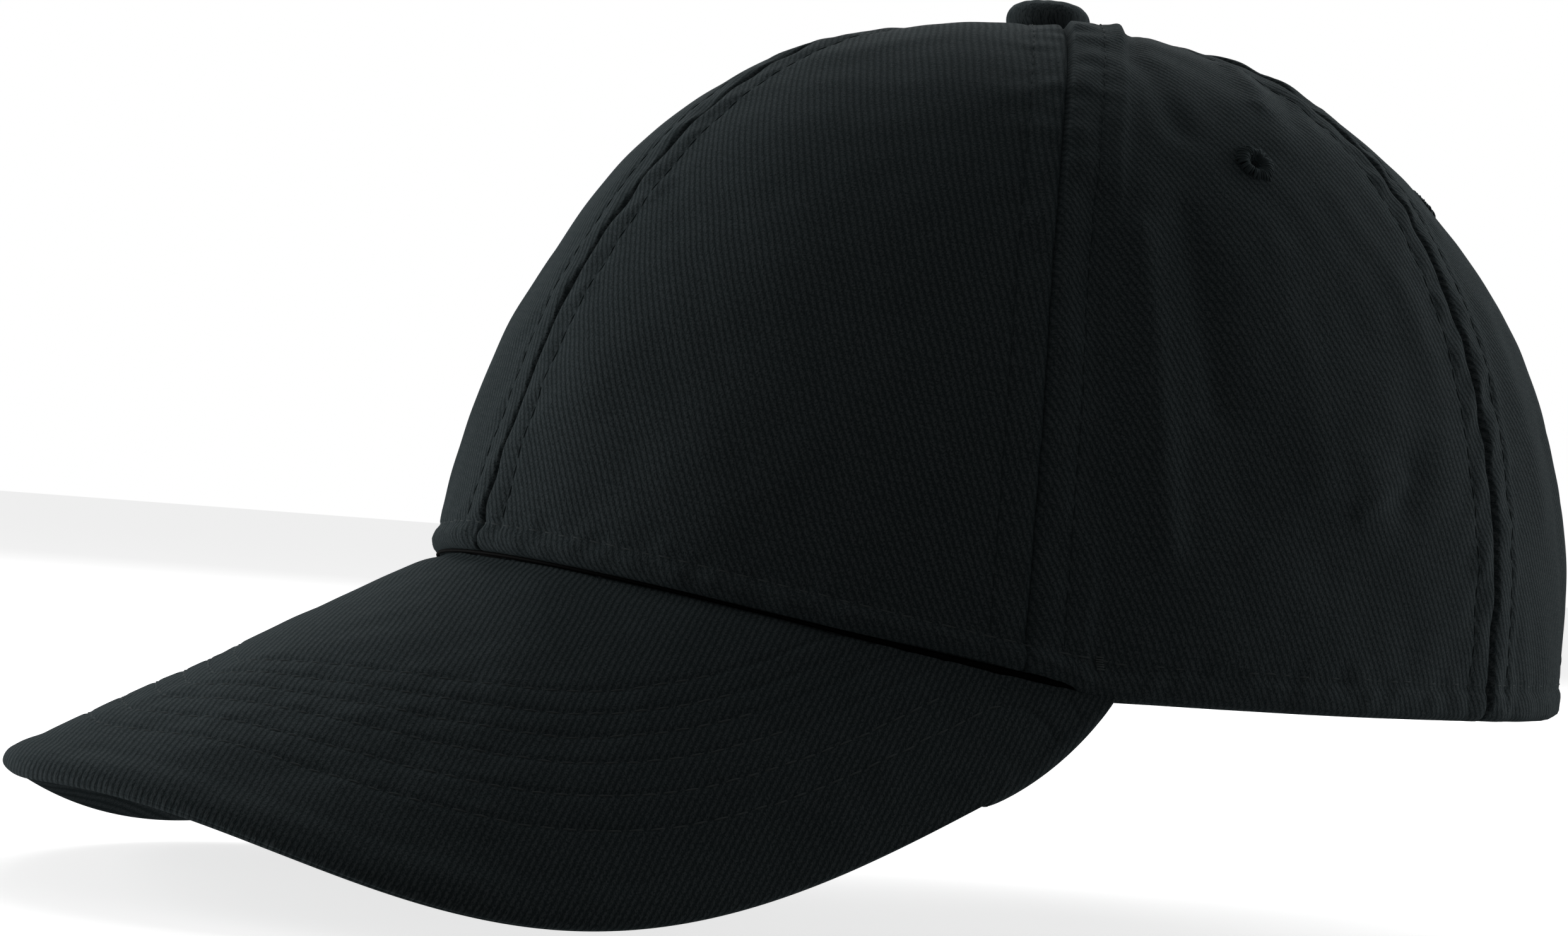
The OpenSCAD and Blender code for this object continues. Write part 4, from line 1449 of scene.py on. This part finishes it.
def make_tab():
    """The cloth tab that holds the buckle, sewn down behind its bar."""
    path, along = tab_path()
    tangent = unit(np.gradient(path, axis=0))
    out = np.stack([tangent[:, 1], -tangent[:, 0], np.zeros(len(path))], -1)
    if out[0, :2] @ path[0] < 0:
        out = -out
    middle = np.stack(np.broadcast_arrays(path[:, :1], path[:, 1:], STRAP_Z[None, :]), -1)
    from_edge = np.minimum(STRAP_Z - STRAP_LOW, STRAP_HIGH - STRAP_Z)
    half = TAB_CLOTH_T / 2 - 0.02 - 0.2 * strap_edge(from_edge)
    half = half - 0.08 * bell(from_edge - 2.2, 0.6)
    outer = middle + out[:, None] * half[None, :, None]
    inner = middle - out[:, None] * half[None, :, None]
    uv = np.stack(np.broadcast_arrays(along[:, None], STRAP_Z[None]), -1)
    flat_size = (STRAP_HIGH - STRAP_LOW, along[-1])
    make_cloth("buckle_tab", outer, inner, uv, TRIM_TWILL, flat_size)
    rows = []
    seen = slice(22, 84)
    for up in STRAP_ROWS:
        line = middle[seen, 0] + out[seen] * (TAB_CLOTH_T / 2 - 0.05)
        line[:, 2] = up
        rows.append((line, out[seen]))
    sewn_at = buckle_place(BAR_AT[0] - 3.5, -4.5)
    station = int(np.argmin(np.linalg.norm(path[:80] - sewn_at, axis=1)))
    upright = middle[station, 3:-3] + out[station] * (TAB_CLOTH_T / 2 - 0.02)
    rows.append((upright, np.broadcast_to(out[station], upright.shape)))
    make_stitches("tab_stitches", rows, stitch=2.2, gap=0.5, rise=0.2)


make_tab()

# ---- CAD pieces that stay: they get their real finish ----
CAD_FINISHES = {
    "visor_board": BOARD_PLASTIC,
    "button_shell": BUTTON_METAL,
    "button_rivet": BUTTON_METAL,
    "button_washer": BUTTON_METAL,
    "buckle_frame": BUCKLE_METAL,
    "buckle_pin": BUCKLE_METAL,
    "buckle_lever": BUCKLE_METAL,
}
for node_name, finish in CAD_FINISHES.items():
    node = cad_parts[node_name]
    for node_slot in node.material_slots:
        node_slot.material = finish
    if "buckle" in node_name:
        bevel = node.modifiers.new("soft_edges", "BEVEL")
        bevel.width = 0.25 * MM
        bevel.segments = 3
        bevel.limit_method = "ANGLE"


# ---- Studio ----
LIGHT_TARGET = Vector((0, -0.03, 0.04))
LIGHT_DISTANCE = 1.3
LIGHT_SIZE = 0.9
# Name, azimuth, elevation and watts of each light
LIGHTS = (
    ("rim_low", -52, -18, 4.4),
    ("rim_left", -46, 10, 4.9),
    ("rim_back", -122, 38, 7.4),
    ("rim_right", 178, 12, 5.9),
)
WORLD_STRENGTH = 0.12


def make_area_light(name, azimuth, elevation, power):
    """A square soft light aimed at the cap, placed by its direction."""
    data = bpy.data.lights.new(name, "AREA")
    data.shape = "SQUARE"
    data.size = LIGHT_SIZE
    data.energy = power
    light = bpy.data.objects.new(name, data)
    bpy.context.scene.collection.objects.link(light)
    a, e = math.radians(azimuth), math.radians(elevation)
    out = Vector((math.sin(a) * math.cos(e), -math.cos(a) * math.cos(e), math.sin(e)))
    light.location = LIGHT_TARGET + out * LIGHT_DISTANCE
    light.rotation_euler = (-out).to_track_quat("-Z", "Y").to_euler()


def make_studio():
    """A white room that lights the cap weakly, and large soft lights behind and beside it."""
    scene = bpy.context.scene
    scene.view_settings.view_transform = "Standard"
    world = bpy.data.worlds.new("studio")
    scene.world = world
    world.use_nodes = True
    nodes, links = world.node_tree.nodes, world.node_tree.links
    nodes.clear()
    out = nodes.new("ShaderNodeOutputWorld")
    seen = nodes.new("ShaderNodeBackground")
    lighting = nodes.new("ShaderNodeBackground")
    seen.inputs["Strength"].default_value = 1.0
    lighting.inputs["Strength"].default_value = WORLD_STRENGTH
    choice = nodes.new("ShaderNodeMixShader")
    path = nodes.new("ShaderNodeLightPath")
    links.new(path.outputs["Is Camera Ray"], choice.inputs[0])
    links.new(lighting.outputs[0], choice.inputs[1])
    links.new(seen.outputs[0], choice.inputs[2])
    links.new(choice.outputs[0], out.inputs["Surface"])
    for background in (seen, lighting):
        background.inputs["Color"].default_value = (1, 1, 1, 1)
    for light in LIGHTS:
        make_area_light(*light)


FLOOR_DROP = 0.003
FLOOR_HALF = 4.0


def make_floor():
    """A plain pale floor under the visor's lowest point."""
    low = CAD_BOX[0][2] - FLOOR_DROP
    corners = ((-1, -1), (1, -1), (1, 1), (-1, 1))
    mesh = bpy.data.meshes.new("floor")
    mesh.from_pydata([(x * FLOOR_HALF, y * FLOOR_HALF, low) for x, y in corners], [], [(0, 1, 2, 3)])
    mesh.materials.append(Shader("floor_white").finish({
        "Base Color": (0.92, 0.92, 0.92, 1),
        "Roughness": 0.9,
        "Emission Color": (1, 1, 1, 1),
        "Emission Strength": 0.75,
    }))
    floor = bpy.data.objects.new("floor", mesh)
    bpy.context.scene.collection.objects.link(floor)
    # The floor looks white without lighting the cap from below, and lets the low light through
    floor.visible_diffuse = False
    floor.visible_glossy = False
    floor.visible_shadow = False


make_studio()
make_floor()
